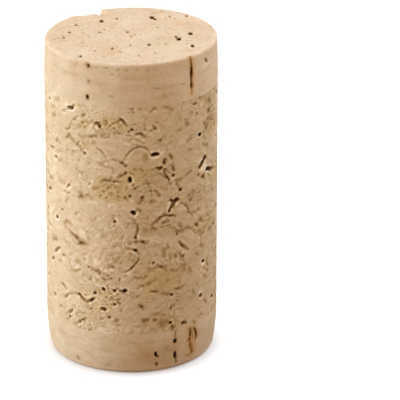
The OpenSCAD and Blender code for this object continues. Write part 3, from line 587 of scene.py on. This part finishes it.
def crease(mesh, rings):
    """Keeps the edges along rings of points sharp."""
    on_ring = np.zeros(len(mesh.vertices), bool)
    on_ring[np.concatenate(rings)] = True
    layer = mesh.attributes.new("sharp_edge", "BOOLEAN", "EDGE")
    layer.data.foreach_set("value", on_ring[edge_ends(mesh)].all(axis=1))


def add_lip_highlights(mesh, dark):
    """Marks the points beside dark hollows with a painted highlight, fading away from them."""
    ends = edge_ends(mesh)
    beside = np.concatenate([ends, ends[:, ::-1]])
    count = np.bincount(beside[:, 0], minlength=len(dark))
    spread = dark
    for step in range(lip_highlight_steps):
        spread = (spread + np.bincount(beside[:, 0], spread[beside[:, 1]], len(spread))) / (1 + count)
    rise = np.maximum(spread - dark, 0)
    layer = mesh.attributes.new("lip_highlight", "FLOAT", "POINT")
    layer.data.foreach_set("value", (rise + 4 * rise ** 2).astype(np.float32))


def stood(name, data):
    """A new object in the scene, from its mesh, lamp or camera."""
    thing = bpy.data.objects.new(name, data)
    bpy.context.scene.collection.objects.link(thing)
    return thing


def build_piece(name, points, sheets, point_marks, glue_rings):
    """A mesh object from points in metres, sheets of faces, a value for each point by mark, and
    the rings of points round its glue faces."""
    mesh = bpy.data.meshes.new(name)
    mesh.from_pydata(points.tolist(), [], [face for faces, _ in sheets for face in faces.tolist()])
    bake_map = mesh.uv_layers.new(name="OFBake")
    bake_map.uv.foreach_set("vector", np.concatenate([uv.ravel() for _, uv in sheets]))
    mesh.polygons.foreach_set("use_smooth", np.ones(len(mesh.polygons), bool))
    for mark_name, values in point_marks.items():
        layer = mesh.attributes.new(mark_name, "FLOAT", "POINT")
        layer.data.foreach_set("value", values.astype(np.float32))
    crease(mesh, glue_rings)
    add_lip_highlights(mesh, point_marks["dark"].astype(np.float32).astype(float))
    return stood(name, mesh)


body_points = np.zeros((body_rows, body_columns, 3))
turn = np.arange(body_columns) * 2 * pi / body_columns
body_reach = radius - relief.T
body_points[:, :, 0] = body_reach * np.sin(turn)
body_points[:, :, 1] = -body_reach * np.cos(turn)
body_points[:, :, 2] = (body_low.z + np.arange(body_rows) * row_step)[:, None]
ends_middle = np.array([(0, 0, body_low.z), (0, 0, body_high.z)])
numbers = np.arange(body_rows * body_columns).reshape(body_rows, body_columns)
body = build_piece(
    "pressed_granules",
    np.concatenate([body_points.reshape(-1, 3), ends_middle]),
    [
        side_sheet(numbers, 0.02, 0.66),
        fan_sheet(numbers[0], numbers.size, (0.2, 0.84), 0.14, False),
        fan_sheet(numbers[-1], numbers.size + 1, (0.6, 0.84), 0.14, True),
    ],
    {name: np.concatenate([values.T.ravel(), [0, 0]]) for name, values in body_marks.items()},
    [numbers[0], numbers[-1]],
)


def paint(red, green, blue):
    """A colour, as the shader's linear values."""
    return tuple(((c / 255 + 0.055) / 1.055) ** 2.4 for c in (red, green, blue)) + (1.0,)


def add(tree, kind, inputs=None, **settings):
    """Adds a node to a material or a group, and links or sets its inputs."""
    node = tree.nodes.new("ShaderNode" + kind)
    for name, value in settings.items():
        setattr(node, name, value)
    for name, value in (inputs or {}).items():
        if isinstance(value, bpy.types.NodeSocket):
            tree.links.new(value, node.inputs[name])
        else:
            node.inputs[name].default_value = value
    return node


def maths(tree, operation, *values):
    return add(tree, "Math", dict(enumerate(values)), operation=operation).outputs[0]


def times(tree, first, second):
    return maths(tree, "MULTIPLY", first, second)


def mixed(tree, share, first, second, blend="MIX"):
    """Two colours mixed by a share, or blended in another way by it."""
    inputs = {0: share, 6: first, 7: second}
    return add(tree, "Mix", inputs, data_type="RGBA", blend_type=blend).outputs[2]


def ranged(tree, value, low, high, to_low=0.0, to_high=1.0):
    inputs = {0: value, 1: low, 2: high, 3: to_low, 4: to_high}
    return add(tree, "MapRange", inputs, interpolation_type="SMOOTHSTEP").outputs[0]


def ramp(tree, value, stops):
    """Colours along a ramp, from stops of a place and a colour or a plain value."""
    node = add(tree, "ValToRGB", {0: value})
    elements = node.color_ramp.elements
    while len(elements) < len(stops):
        elements.new(0.5)
    for element, (place, tint) in zip(elements, stops):
        element.position = place
        element.color = tint if isinstance(tint, tuple) else (tint, tint, tint, 1.0)
    return node.outputs[0]


def noise(tree, place, scale, detail):
    return add(tree, "TexNoise", {"Vector": place, "Scale": scale, "Detail": detail}).outputs[0]


def mark(tree, name):
    """A value stored on the mesh's points."""
    return add(tree, "Attribute", attribute_name=name).outputs["Fac"]


def fresh_nodes(thing):
    """The emptied node tree of a material or of the world."""
    thing.use_nodes = True
    thing.node_tree.nodes.clear()
    return thing.node_tree


def new_material(name):
    material = bpy.data.materials.new(name)
    tree = fresh_nodes(material)
    shader = add(tree, "BsdfPrincipled")
    add(tree, "OutputMaterial", {"Surface": shader.outputs[0]})
    return material, tree, shader


def new_group(name, inputs, outputs):
    """An empty node group with its sockets."""
    tree = bpy.data.node_groups.new(name, "ShaderNodeTree")
    for socket, kind in inputs:
        tree.interface.new_socket(socket, in_out="INPUT", socket_type="NodeSocket" + kind)
    for socket, kind in outputs:
        tree.interface.new_socket(socket, in_out="OUTPUT", socket_type="NodeSocket" + kind)
    return tree, tree.nodes.new("NodeGroupInput").outputs, tree.nodes.new("NodeGroupOutput").inputs


# Cork's shades: one run from the black of a deep pore to the cream of ground natural cork,
# shared by the granules and the discs.
shades, given, result = new_group("cork_shades", [("Shade", "Float")], [("Color", "Color")])
shades.links.new(ramp(shades, given["Shade"], [
    (0.0, paint(32, 16, 5)), (0.14, paint(71, 43, 21)), (0.28, paint(112, 81, 46)),
    (0.42, paint(152, 122, 84)), (0.56, paint(182, 155, 117)), (0.7, paint(203, 179, 145)),
    (0.84, paint(220, 198, 169)), (1.0, paint(250, 239, 222)),
]), result["Color"])

# Cork's crumb, also shared: short dark lines where layers are cut through, specks where cells are
# torn, and soft blotches. Lines and specks have pale edges. All swing about nought.
crumbs, given, result = new_group(
    "cork_crumb", [("Place", "Vector"), ("Layers", "Vector")],
    [("Lines", "Float"), ("Specks", "Float"), ("Blotch", "Float")],
)
line = ramp(crumbs, noise(crumbs, given["Layers"], 2.0, 1.5), [
    (0.28, 0.0), (0.36, 0.2), (0.42, 0.5), (0.47, 0.68), (0.58, 0.5),
])
shown = ranged(crumbs, noise(crumbs, given["Place"], 0.85, 1.0), 0.42, 0.56)
line = times(crumbs, maths(crumbs, "SUBTRACT", line, 0.5), shown)
crumbs.links.new(line, result["Lines"])
speck = ramp(crumbs, noise(crumbs, given["Place"], 1.8, 1.5), [
    (0.3, 0.0), (0.4, 0.35), (0.46, 0.6), (0.54, 0.52), (0.72, 0.7),
])
crumbs.links.new(maths(crumbs, "SUBTRACT", speck, 0.5), result["Specks"])
crumbs.links.new(maths(crumbs, "SUBTRACT", noise(crumbs, given["Place"], 0.5, 1.0), 0.5), result["Blotch"])

# How a hollow changes the shade: its dark mark, partly dust and partly painted shade, darkens it, and a
# painted highlight lightens its lip.
hollow, given, result = new_group(
    "hollow", [("Shade", "Float"), ("Dark", "Float"), ("Lip", "Float")], [("Shade", "Float")]
)
lifted = maths(hollow, "ADD", given["Shade"], given["Lip"])
darkened = maths(hollow, "SUBTRACT", lifted, times(hollow, given["Dark"], 0.84))
hollow.links.new(darkened, result["Shade"])


def swung(tree, shade, value, amount):
    """The shade with a value's swing added to it."""
    return maths(tree, "ADD", shade, times(tree, value, amount))


def placed(tree, group, **inputs):
    """A shared group placed in a material, with its inputs linked or set."""
    return add(tree, "Group", inputs, node_tree=group).outputs


def hollowed(tree, shade):
    """The cork's colour for its shade, with the dark marks and the painted highlights on the hollows' lips
    in it.
    """
    shade = placed(tree, hollow, Shade=shade, Dark=mark(tree, "dark"), Lip=mark(tree, "lip_highlight"))["Shade"]
    return placed(tree, shades, Shade=shade)["Color"]


def stained(tree, tint, share, stain):
    """The colour, with a share of it seen through a stain."""
    return mixed(tree, share, tint, mixed(tree, 1.0, tint, stain, "MULTIPLY"))


def give_surface(tree, shader, tint, roughness, gloss, rough, rough_depth, strength):
    """Links a cork's colour and its bump to its shader, and sets how it shines."""
    tree.links.new(tint, shader.inputs["Base Color"])
    bump = add(tree, "Bump", {"Height": rough, "Distance": rough_depth, "Strength": strength})
    tree.links.new(bump.outputs[0], shader.inputs["Normal"])
    shader.inputs["Roughness"].default_value = roughness
    shader.inputs["Specular IOR Level"].default_value = gloss


def object_place(tree):
    """The place on the stopper, in millimetres."""
    spot = add(tree, "TexCoord").outputs["Object"]
    return add(tree, "VectorMath", {0: spot, 3: 1 / mm}, operation="SCALE").outputs[0]


# Each granule has its own grain: lines along its layers, which lie apart by the granule's number.
rosy_stain = paint(255, 243, 240)
granulate, tree, shader = new_material("pressed_granules")
place = object_place(tree)
stretched = times(tree, mark(tree, "grain_along"), 0.4)
layers = add(tree, "CombineXYZ", {
    0: stretched, 1: mark(tree, "grain_across"), 2: mark(tree, "granule"),
}).outputs[0]
crumb = placed(tree, crumbs, Place=place, Layers=layers)
grain = mark(tree, "grain")
share = times(tree, ranged(tree, mark(tree, "crumb"), 0.0, 1.0, 0.4, 1.4), grain)
streak = times(tree, maths(tree, "SUBTRACT", noise(tree, layers, 1.5, 2.5), 0.5), grain)
shade = maths(tree, "ADD", mark(tree, "tone"), 0.785)
# Pale flecks: torn cork, and painted highlights beside pits.
shade = swung(tree, shade, mark(tree, "pale"), 0.2)
shade = swung(tree, shade, times(tree, crumb["Lines"], share), 0.35)
shade = swung(tree, shade, times(tree, crumb["Specks"], share), 0.36)
shade = swung(tree, shade, streak, 0.32)
shade = swung(tree, shade, crumb["Blotch"], 0.12)
tint = hollowed(tree, shade)
tint = stained(tree, tint, times(tree, mark(tree, "rosy"), 0.5), rosy_stain)
tint = stained(tree, tint, ranged(tree, mark(tree, "ochre"), 0.0, 1.0, 0.28, 0.8), paint(248, 233, 203))
tint = mixed(tree, 1.0, tint, paint(251, 253, 253), "MULTIPLY")
rough = times(tree, maths(tree, "ADD", crumb["Lines"], crumb["Specks"]), share)
give_surface(tree, shader, tint, 0.8, 0.12, maths(tree, "ADD", rough, streak), 0.16 * mm, 0.8)
body.data.materials.append(granulate)

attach(body, "root")
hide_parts("granule_body")


# The upper disc
# A disc punched from natural bark, so the bark's growth layers lie level in it and its pores
# run straight up. It is glued to the body, ground with it, and its rim is broken at the back.

chip_turn, chip_reach, chip_foot = radians(-147), 3.2 * mm, 42 * mm
chip_place = (radius * sin(chip_turn), -radius * cos(chip_turn))


def by_chip(points):
    """The broken stretch of the rim, where bare cork shows, no dust has gathered and no shade is painted.
    """
    near = np.hypot(points[..., 0] - chip_place[0], points[..., 1] - chip_place[1]) < chip_reach
    return near & (points[..., 2] > chip_foot)


def turned_about(points, angle):
    """Points turned about the stopper's axis."""
    x, y, z = np.moveaxis(points, -1, 0)
    return np.stack([x * cos(angle) - y * sin(angle), x * sin(angle) + y * cos(angle), z], axis=-1)


def square_rings(half):
    """A square grid laid over a round face: each square ring becomes a circle."""
    i, j = np.meshgrid(np.arange(-half, half + 1), np.arange(-half, half + 1), indexing="ij")
    reach = np.maximum(abs(i), abs(j))
    safe = np.where(reach == 0, 1, reach)
    turn = np.where(
        abs(i) >= abs(j),
        np.where(i >= 0, j / safe, 4 - j / safe),
        np.where(j > 0, 2 - i / safe, 6 + i / safe),
    ) * pi / 4
    return reach / half, turn


disc_half = 100         # mesh squares from the middle of a face to its edge
side_rows = 46          # rows of points up a disc's side
rim_rows = 5            # steps over its rounded rim
lean_patch = 20         # points each way, between which a face's lean is felt
stroke_depth, face_stroke_depth = 0.05 * mm, 0.04 * mm
face_hollow_shade = 0.4         # how much of the hollows' darkness, partly painted shade, the face keeps beside the side's
rim_highlight_band = 0.35 * mm   # the band round a face painted paler, as a painted highlight at its rim


def cork_disc(name, node, glue, face, taper, rounding, side_dust, side_marks, face_marks):
    """One natural cork disc, felt from its solid: its side, its rounded rim and its open face.

    Its side's marks and its face's are each a list of lines and a list of stains."""
    columns = 8 * disc_half
    way = 1 if face > glue else -1
    thickness = abs(face - glue)
    solid = solid_of(node)
    turn = np.arange(columns) * 2 * pi / columns
    round_out = np.stack([np.cos(turn), np.sin(turn), np.zeros(columns)], axis=1)
    inside = np.array([0, 0, -way])
    low_rim = thickness - rounding
    face_radius = radius - taper * (low_rim / thickness) ** 2 - rounding

    # How high the rim stands above the glue face, all the way round: the upper one leans.
    above = round_out * face_radius + np.array([0, 0, face + way * stand_off])
    if way > 0:
        rim_height = np.array([solid.ray_cast(p, (0, 0, -1))[0].z - glue for p in above.tolist()])
    else:
        rim_height = thickness - depth_under(solid, above, np.broadcast_to(inside, above.shape))

    # The smooth side and its rounded rim, row by row, each point with its way out.
    points = []
    for row in range(side_rows + rim_rows - 1):
        height = rim_height - rounding
        if row < side_rows:
            height = height * row / (side_rows - 1)
            reach = radius - taper * (height / thickness) ** 2
            centre, normal = round_out * reach[:, None], round_out
        else:
            lift = (row - side_rows + 1) / rim_rows * pi / 2
            centre, normal = round_out * face_radius, round_out * cos(lift) - inside * sin(lift)
        level = np.stack([0 * height, 0 * height, glue + way * height], axis=1)
        points.append((centre + level + (normal * rounding if row >= side_rows else 0), normal))
    base, normal = np.stack([p[0] for p in points]), np.stack([p[1] for p in points])
    felt = np.array([
        depth_under(solid, turned_about(base + normal * stand_off, s), turned_about(-normal, s))
        for s in (np.arange(3) - 1) / 3 * 2 * pi / columns
    ])
    felt[:, 0] = 0

    # Its hollows, with their dust and painted shade, and its marks.
    across = (turn + pi / 2 + pi) % (2 * pi) - pi
    across = np.broadcast_to(across * radius / mm, felt[0].shape)
    height = base[:, :, 2] / mm
    side_drawn, side_ochre = (drawn(lines, across, height) for lines in side_marks)
    side_depth, side_left, side_dark = hollow_dust_and_shade(felt, lambda values: values.mean(axis=0).T, 5)
    side_dark = side_dark * less_by_dust(side_dust, across, height).T
    side_dark = 1 - (1 - side_dark.T * ~by_chip(base)) * (1 - side_drawn)
    side_left = np.where(by_chip(base), side_depth.T, side_left.T)
    side_left[0] = 0
    side_points = base - normal * (side_left + stroke_depth * side_drawn ** 2)[:, :, None]
    side_rim_highlight = np.zeros(side_left.shape)
    side_rim_highlight[side_rows - 1 :] = 1

    # The open face, level apart from the lean that the last grinding gave it.
    share, spot = square_rings(disc_half)
    x, y = share * face_radius * np.cos(spot), share * face_radius * np.sin(spot)
    column = np.round(spot / (2 * pi) * columns).astype(int) % columns
    far_side = rim_height[columns // 2 - lean_patch : columns // 2 + lean_patch]
    lean = (np.median(rim_height[:lean_patch]) - np.median(far_side)) / 2
    plane = thickness + lean * x / face_radius
    step = face_radius / disc_half / 3
    felt = []
    for dx in (-step, 0, step):
        for dy in (-step, 0, step):
            out = np.maximum(np.hypot(x + dx, y + dy), 1e-9)
            shrink = np.minimum(1, (face_radius - 0.01 * mm) / out)
            height = glue + way * (plane + stand_off)
            start = np.stack([(x + dx) * shrink, (y + dy) * shrink, height], axis=2)
            felt.append(depth_under(solid, start, np.broadcast_to(inside.astype(float), start.shape)))
    felt = np.array(felt)
    edge = share == 1
    felt[:, edge] = 0
    broken = by_chip(np.stack([x, y, glue + way * plane], axis=2))
    face_drawn, face_ochre = (drawn(lines, x / mm, y / mm) for lines in face_marks)
    face_depth, face_left, face_dark = hollow_dust_and_shade(felt, lambda values: values.mean(axis=0), 5)
    face_dark = 1 - (1 - face_hollow_shade * face_dark * ~broken) * (1 - face_drawn)
    face_dark[edge] = 0
    face_height = plane - np.where(broken, face_depth, face_left) - face_stroke_depth * face_drawn
    face_height[edge] = rim_height[column[edge]]
    face_points = np.stack([x, y, glue + way * face_height], axis=2)

    # The mesh: the side, the face, whose edge the side ends on, and the hidden glue face.
    side_count = side_points.shape[0] * columns
    face_numbers = side_count + np.arange(x.size).reshape(x.shape)
    edge_ring = np.zeros(columns, int)
    edge_ring[column[edge]] = face_numbers[edge]
    side_numbers = np.concatenate([np.arange(side_count).reshape(-1, columns), edge_ring[None, :]])
    quad = [face_numbers[:-1, :-1], face_numbers[1:, :-1], face_numbers[1:, 1:], face_numbers[:-1, 1:]]
    face_quads = np.stack(quad, axis=2).reshape(-1, 4)
    flat = np.stack([x, y], axis=2).reshape(-1, 2) / face_radius * 0.29 + (0.31, 0.68)
    sheets = [
        side_sheet(side_numbers, 0.02, 0.34),
        (face_quads, flat[face_quads - side_count]),
        fan_sheet(side_numbers[0], side_count + x.size, (0.8, 0.6), 0.16, False),
    ]
    if way < 0:
        sheets = [(faces[:, ::-1], uv[:, ::-1]) for faces, uv in sheets]
    point_marks = {
        "dark": (side_dark, face_dark), "ochre": (side_ochre, face_ochre),
        # The rim mark carries a painted highlight on the rounded rim and on a band round the face.
        "rim": (side_rim_highlight, eased(share, 1 - rim_highlight_band / face_radius, 1)),
        "end": (0 * side_dark, np.ones(x.shape)),
    }
    all_points = [side_points.reshape(-1, 3), face_points.reshape(-1, 3), [(0, 0, glue)]]
    return build_piece(
        name, np.concatenate(all_points), sheets,
        {key: np.concatenate([on.ravel(), over.ravel(), [0]]) for key, (on, over) in point_marks.items()},
        [side_numbers[0]],
    )


# Marks on the upper disc: pores and fissures as lines, and the brown that spreads from them as
# stains. On the side a point is an angle and a height, and on the face it is x and y.
top_side_lines = strokes([
    5, [50, -8, 43.3, 4, 43.1, 18, 43.3], [50, 48, 42.6, 56, 42.2, 66, 42.4],
    6, [60, -20, 41.5, -8, 41.6, 6, 41.5, 25, 41.6, 38, 41.4], [50, -60, 43, -48, 42.6, -38, 42.8],
    7, [50, -30, 42.2, -20, 42, -5, 41.9, 5, 42.1, 16, 42], [50, 14, 40.2, 26, 40.4, 38, 40.1],
    8, [45, 95, 42.4, 125, 42, 150, 42.5], [40, -160, 41.2, -130, 41.6, -100, 41.1],
    18, [22, -24, 44.3, -23, 44.35], 20, [40, -29, 42.35, -28.8, 42.05], [25, -3.5, 44.3, -2.5, 44.2],
    [22, 3, 44.4, 4, 44.3], 22, [25, -17, 44.5, -15.5, 44.45], 25, [25, 16, 41.6, 19, 41.5],
    [25, 34, 41.6, 37, 41.5], [22, -9.5, 44.25, -8, 44.35], [25, -13, 43.6, -12, 43.6],
    [30, -14, 40.6, -12, 40.5], 30, [50, -30.5, 44.6, -29, 44.4], [25, 43.3, 40.7, 43.3, 39.8],
    35, [35, 42.4, 44.9, 43, 44.3, 43.2, 43.6], 40, [30, 43.4, 42.4, 43.2, 41.3],
    50, [40, 58, 43.85, 60, 43.45], 60, [40, -29.6, 40.15, -29.4, 39.85],
    65, [40, 43.1, 41.15, 43.4, 40.85], 70, [40, 43.2, 43.4, 43.5, 42.5],
], degree)
top_side_stains = strokes([30, [100, -29.5, 45, -29, 44], 90, [70, 43, 45, 43.2, 42, 43.2, 40]], degree)
top_face_lines = strokes([
    15, [40, -7.45, 4.8, -7.3, 4.1], [42, -4.25, 1.5, -4.1, 1.1], [40, -6.6, -2.2, -6.5, -2.8],
    18, [42, -8.3, 1.8, -8.2, 1.3], [35, -9.1, -0.1, -9, -0.9], [35, -5.8, 0.1, -5.6, -0.4],
    [40, 4.6, -3.5, 4.8, -4.1], 20, [30, -3.6, 2.8, -3.5, 2.3], [25, -1.5, -6.1, -1.3, -6.8],
    [30, 1, -7.8, 1.1, -8.4], [30, 3.1, -6.8, 3.2, -7.3], [30, 6, 6.6, 6.1, 6], [35, -6.6, 1.3, -6.4, 0.8],
    [30, 3.6, 3.2, 3.7, 2.6], 25, [32, -1.9, 7.1, -1.9, 6.5], [25, -0.1, -3.5, 0, -4.2],
    [25, -4.8, -5.7, -4.7, -6.3], [30, 5.3, 7.6, 5.3, 7], [30, 4.1, 9.3, 4.6, 9.3],
    30, [35, -6.7, -7.5, -6.7, -8.2], [28, -0.5, 1.6, -0.4, 1.1], [25, 0, -0.2, 0.1, -0.8],
    [25, 0.5, 0.4, 0.5, 0], [35, 7.6, 7.6, 7.6, 7], 35, [28, -2.5, -4.8, -2.4, -5.3],
    50, [33, 2.45, -3.5, 2.4, -4.1], 60, [33, 6, -0.7, 6.2, -1.3], 70, [33, 3.2, 6.6, 3.3, 6.2],
    75, [42, -4, 6.2, -4, 5.6], [36, 8.2, -4.3, 8.25, -4.9], 90, [42, 8, 0.55, 8.05, 0],
    95, [45, 2.8, 7.3, 2.9, 6.8], [46, 6.45, -1.5, 6.4, -2.1],
])
top_face_stains = strokes([
    15, [200, -10, -2, -9.5, 0], [200, -3.6, 7.5, -3.4, 5], [200, -7, 5, -8, 3], [200, 5, 5, 7.5, 4],
    20, [160, 3, 7.5, 4, 5], [200, 4.5, -2, 5.6, -1.4], [140, 8, 1, 8.4, -1],
    35, [140, -3.4, -5.4, -2.6, -5.2, -2.4, -7],
])
top_disc = cork_disc(
    "top_natural_disc", "top_disc", body_high.z, 45 * mm, 0.15 * mm, 0.3 * mm,
    [(-29.4, 44.4, 0.8, 0.35), (-28.8, 42.2, 0.7, 0.4), (-29.5, 40, 0.6, 0.8), (43.2, 42.3, 2, 0.45)],
    (top_side_lines, top_side_stains), (top_face_lines, top_face_stains)
)

# The growth layers lie level, bowed and rippled, and are cut along on the side and across on the face.
natural, tree, shader = new_material("natural_cork")
place = object_place(tree)
spot = add(tree, "SeparateXYZ", {0: place}).outputs
bowed = times(tree, noise(tree, place, 0.13, 1.0), 4.0)
ripple = times(tree, noise(tree, place, 0.6, 1.0), 0.7)
layer_place = maths(tree, "ADD", spot["Z"], maths(tree, "ADD", bowed, ripple))
level = add(tree, "VectorMath", {0: place, 1: (0.3, 0.3, 0.0)}, operation="MULTIPLY").outputs[0]
lifted = add(tree, "CombineXYZ", {2: layer_place}).outputs[0]
layers = add(tree, "VectorMath", {0: level, 1: lifted}).outputs[0]
crumb = placed(tree, crumbs, Place=place, Layers=layers)
end_grain = mark(tree, "end")


def by_face(side, end):
    """One value on the disc's side and another on its end grain."""
    return ranged(tree, end_grain, 0.0, 1.0, side, end)


streak = maths(tree, "SUBTRACT", noise(tree, layers, 0.8, 3.0), 0.5)
# The face is painted a little paler than the side, as painted light on the top face, and the rim paler
# still, as a painted highlight.
shade = swung(tree, by_face(0.755, 0.79), mark(tree, "rim"), 0.05)
shade = swung(tree, shade, crumb["Lines"], by_face(0.05, 0.14))
shade = swung(tree, shade, crumb["Specks"], by_face(0.12, 0.22))
shade = swung(tree, shade, streak, by_face(0.2, 0.12))
# Painted light: the disc's side is painted paler towards the right.
shade = swung(tree, shade, ranged(tree, spot["X"], 4.0, 9.0), by_face(0.04, 0.0))
shade = swung(tree, shade, crumb["Blotch"], 0.12)
tint = hollowed(tree, shade)
tint = stained(tree, tint, ranged(tree, noise(tree, place, 0.3, 1.0), 0.35, 0.65, 0.0, 0.5), rosy_stain)
tint = stained(tree, tint, times(tree, mark(tree, "ochre"), 0.8), paint(232, 197, 114))
rough = times(tree, maths(tree, "ADD", crumb["Lines"], crumb["Specks"]), 0.6)
give_surface(tree, shader, tint, 0.75, 0.15, rough, 0.05 * mm, 0.6)
top_disc.data.materials.append(natural)

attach(top_disc, "root")
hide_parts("top_disc")


# The lower disc
# A second disc of natural cork under the body. The corker's jaws and the drying have drawn its
# foot in a little, and its rim is rounded.

foot_side_lines = strokes([
    6, [45, -52, 2.6, -40, 2.9, -28, 2.5], 8, [45, -20, 3.6, -8, 3.2, 4, 3.5, 14, 3.2],
    [45, -2, 5, 6, 4.6, 14, 4.9, 24, 4.6], [45, -60, 4.6, -48, 4.2, -36, 4.6], [45, -5, 2, 8, 2.3, 20, 2],
    [45, 52, 4.6, 60, 4.2, 68, 4.5], [45, 100, 3.4, 130, 3, 160, 3.6],
    # The wide faint line of darkness 10 in this row, 8 to 26 degrees round, is painted shade low on the
    # front right.
    [45, -165, 2.6, -135, 3.2, -105, 2.8], 10, [240, 8, 2.5, 26, 2.6], 15, [40, -18, 1.2, -15, 1.4],
    25, [30, 40, 1.6, 44, 1.4], 30, [30, 45, 4, 45.4, 5], 35, [45, -40.8, 1.5, -40.2, 1.2],
    40, [30, 30.2, 6, 30.1, 5], 45, [45, 17, 1.4, 17.2, 1.1], [40, 42.4, 5.5, 43, 4.9, 43, 4.6],
    [35, 41, 3.9, 42.6, 4], [40, 46, 5.4, 48, 4.8, 49, 4.2, 48, 3.7], 50, [30, 31, 1.9, 32, 1],
    [40, 43, 3.1, 44.5, 2.4, 45.6, 1.8], 75, [35, 16, 3.1, 16.3, 2.7, 17.5, 2.5],
    85, [38, 30.4, 2.6, 31, 1.9], 95, [42, 30, 4.5, 30, 4.3],
], degree)
foot_side_stains = strokes([
    30, [140, 24, 3.4, 30, 3], 35, [200, 8, 3, 16, 2], 50, [90, 30, 5, 30.5, 2],
    80, [100, 46, 5.4, 48.5, 4], 100, [120, 42.5, 5.6, 43.5, 3.6, 45.5, 2],
], degree)
bottom_disc = cork_disc(
    "bottom_natural_disc", "bottom_disc", body_low.z, 0.0, 0.6 * mm, 0.8 * mm,
    [(16.5, 2, 1.2, 0.65), (30.3, 3, 2, 0.8), (-40.5, 1.4, 0.6, 0.45), (45.5, 3.5, 2.2, 0.6)],
    (foot_side_lines, foot_side_stains), ([], [])
)
bottom_disc.data.materials.append(natural)

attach(bottom_disc, "root")
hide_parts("bottom_disc")


# The studio
# The stopper stands on a white table in a white room. A soft lamp lights it from low on the left,
# and a weaker one from behind it on the right.

def area_light(name, place, aim, size, power, tint=(1, 1, 1)):
    lamp = bpy.data.lights.new(name, "AREA")
    lamp.size, lamp.energy, lamp.color = size, power, tint
    holder = stood(name, lamp)
    holder.location = place
    holder.rotation_euler = (Vector(aim) - Vector(place)).to_track_quat("-Z", "Y").to_euler()


stopper_middle = (0, 0, 0.0225)


def around(turn, lift, distance):
    """A place seen from the stopper's middle at a turn from the front and a lift, in degrees."""
    turn, lift = radians(turn), radians(lift)
    way = Vector((sin(turn) * cos(lift), -cos(turn) * cos(lift), sin(lift)))
    return Vector(stopper_middle) + distance * way


area_light("window", around(-90, 9, 0.5), stopper_middle, 0.3, 2.94, (0.7, 0.87, 1.02))
area_light("fill", around(117, 25, 0.5), stopper_middle, 0.3, 1.26, (0.6, 0.8, 1))

world = bpy.data.worlds.new("studio")
bpy.context.scene.world = world
tree = fresh_nodes(world)
rays = add(tree, "LightPath").outputs
mirrored = maths(tree, "MAXIMUM", rays["Is Glossy Ray"], rays["Is Transmission Ray"])
seen = maths(tree, "MAXIMUM", rays["Is Camera Ray"], mirrored)
upward = add(tree, "SeparateXYZ", {0: add(tree, "TexCoord").outputs["Generated"]}).outputs["Z"]
from_below, from_above = (0.65, 0.336, 0.052, 1), (1.2, 1.25, 1.34, 1)
room = mixed(tree, add(tree, "Clamp", {0: upward}).outputs[0], from_below, from_above)
sky = mixed(tree, seen, room, (1, 1, 1, 1))
backdrop = add(tree, "Background", {"Color": sky, "Strength": 1.0})
add(tree, "OutputWorld", {"Surface": backdrop.outputs[0]})

table_mesh = bpy.data.meshes.new("table")
half = 3.0
corners = [(x * half, y * half, 0) for x, y in ((-1, -1), (1, -1), (1, 1), (-1, 1))]
table_mesh.from_pydata(corners, [], [(0, 1, 2, 3)])
table = stood("table", table_mesh)
table_white = bpy.data.materials.new("table_white")
tree = fresh_nodes(table_white)
rays = add(tree, "LightPath").outputs
spot = add(tree, "TexCoord").outputs["Object"]
from_foot = add(tree, "VectorMath", {0: spot}, operation="LENGTH").outputs["Value"]
# To the lamps' light the table is darker near the foot and more so on the right: a painted shadow of the
# stopper in the light it gives back.
rightward = ranged(tree, add(tree, "SeparateXYZ", {0: spot}).outputs["X"], -0.02, 0.02)
shaded = mixed(tree, rightward, (0.5, 0.43, 0.36, 1), (0.2, 0.14, 0.08, 1))
bounce = mixed(tree, ranged(tree, from_foot, 0.02, 0.12), shaded, (0.5, 0.43, 0.33, 1))
matt_white = mixed(tree, rays["Is Camera Ray"], bounce, (0.67, 0.67, 0.67, 1))
matt = add(tree, "BsdfDiffuse", {"Color": matt_white})
# The glow is lowered round the foot, which paints a contact shadow there besides the real one.
glowing = times(tree, rays["Is Camera Ray"], ranged(tree, from_foot, 0.0113, 0.014, 0.28, 0.62))
glow = add(tree, "Emission", {"Color": (1, 1, 1, 1), "Strength": glowing})
both = add(tree, "AddShader", {0: matt.outputs[0], 1: glow.outputs[0]})
add(tree, "OutputMaterial", {"Surface": both.outputs[0]})
table_mesh.materials.append(table_white)

camera_data = bpy.data.cameras.new("camera")
camera = stood("camera", camera_data)
bpy.context.scene.camera = camera
view_width = 400
focal_pixels = 3492.06
camera_data.sensor_width = 36
camera_data.lens = focal_pixels / view_width * camera_data.sensor_width
camera_data.clip_end = 20
view_distance = 0.47835
view_height = radians(22.259)
pan = atan(-68.45 / focal_pixels)
tip = atan(-10.2 / focal_pixels)
roll = radians(-0.193)
turned = Matrix.Rotation(pi / 2 - view_height, 4, "X")
for angle, axis in ((pan, "Y"), (tip, "X"), (roll, "Z")):
    turned = turned @ Matrix.Rotation(angle, 4, axis)
stand = Vector(stopper_middle) + view_distance * Vector((0, -cos(view_height), sin(view_height)))
camera.matrix_world = Matrix.Translation(stand) @ turned

bpy.context.scene.view_settings.view_transform = "Standard"
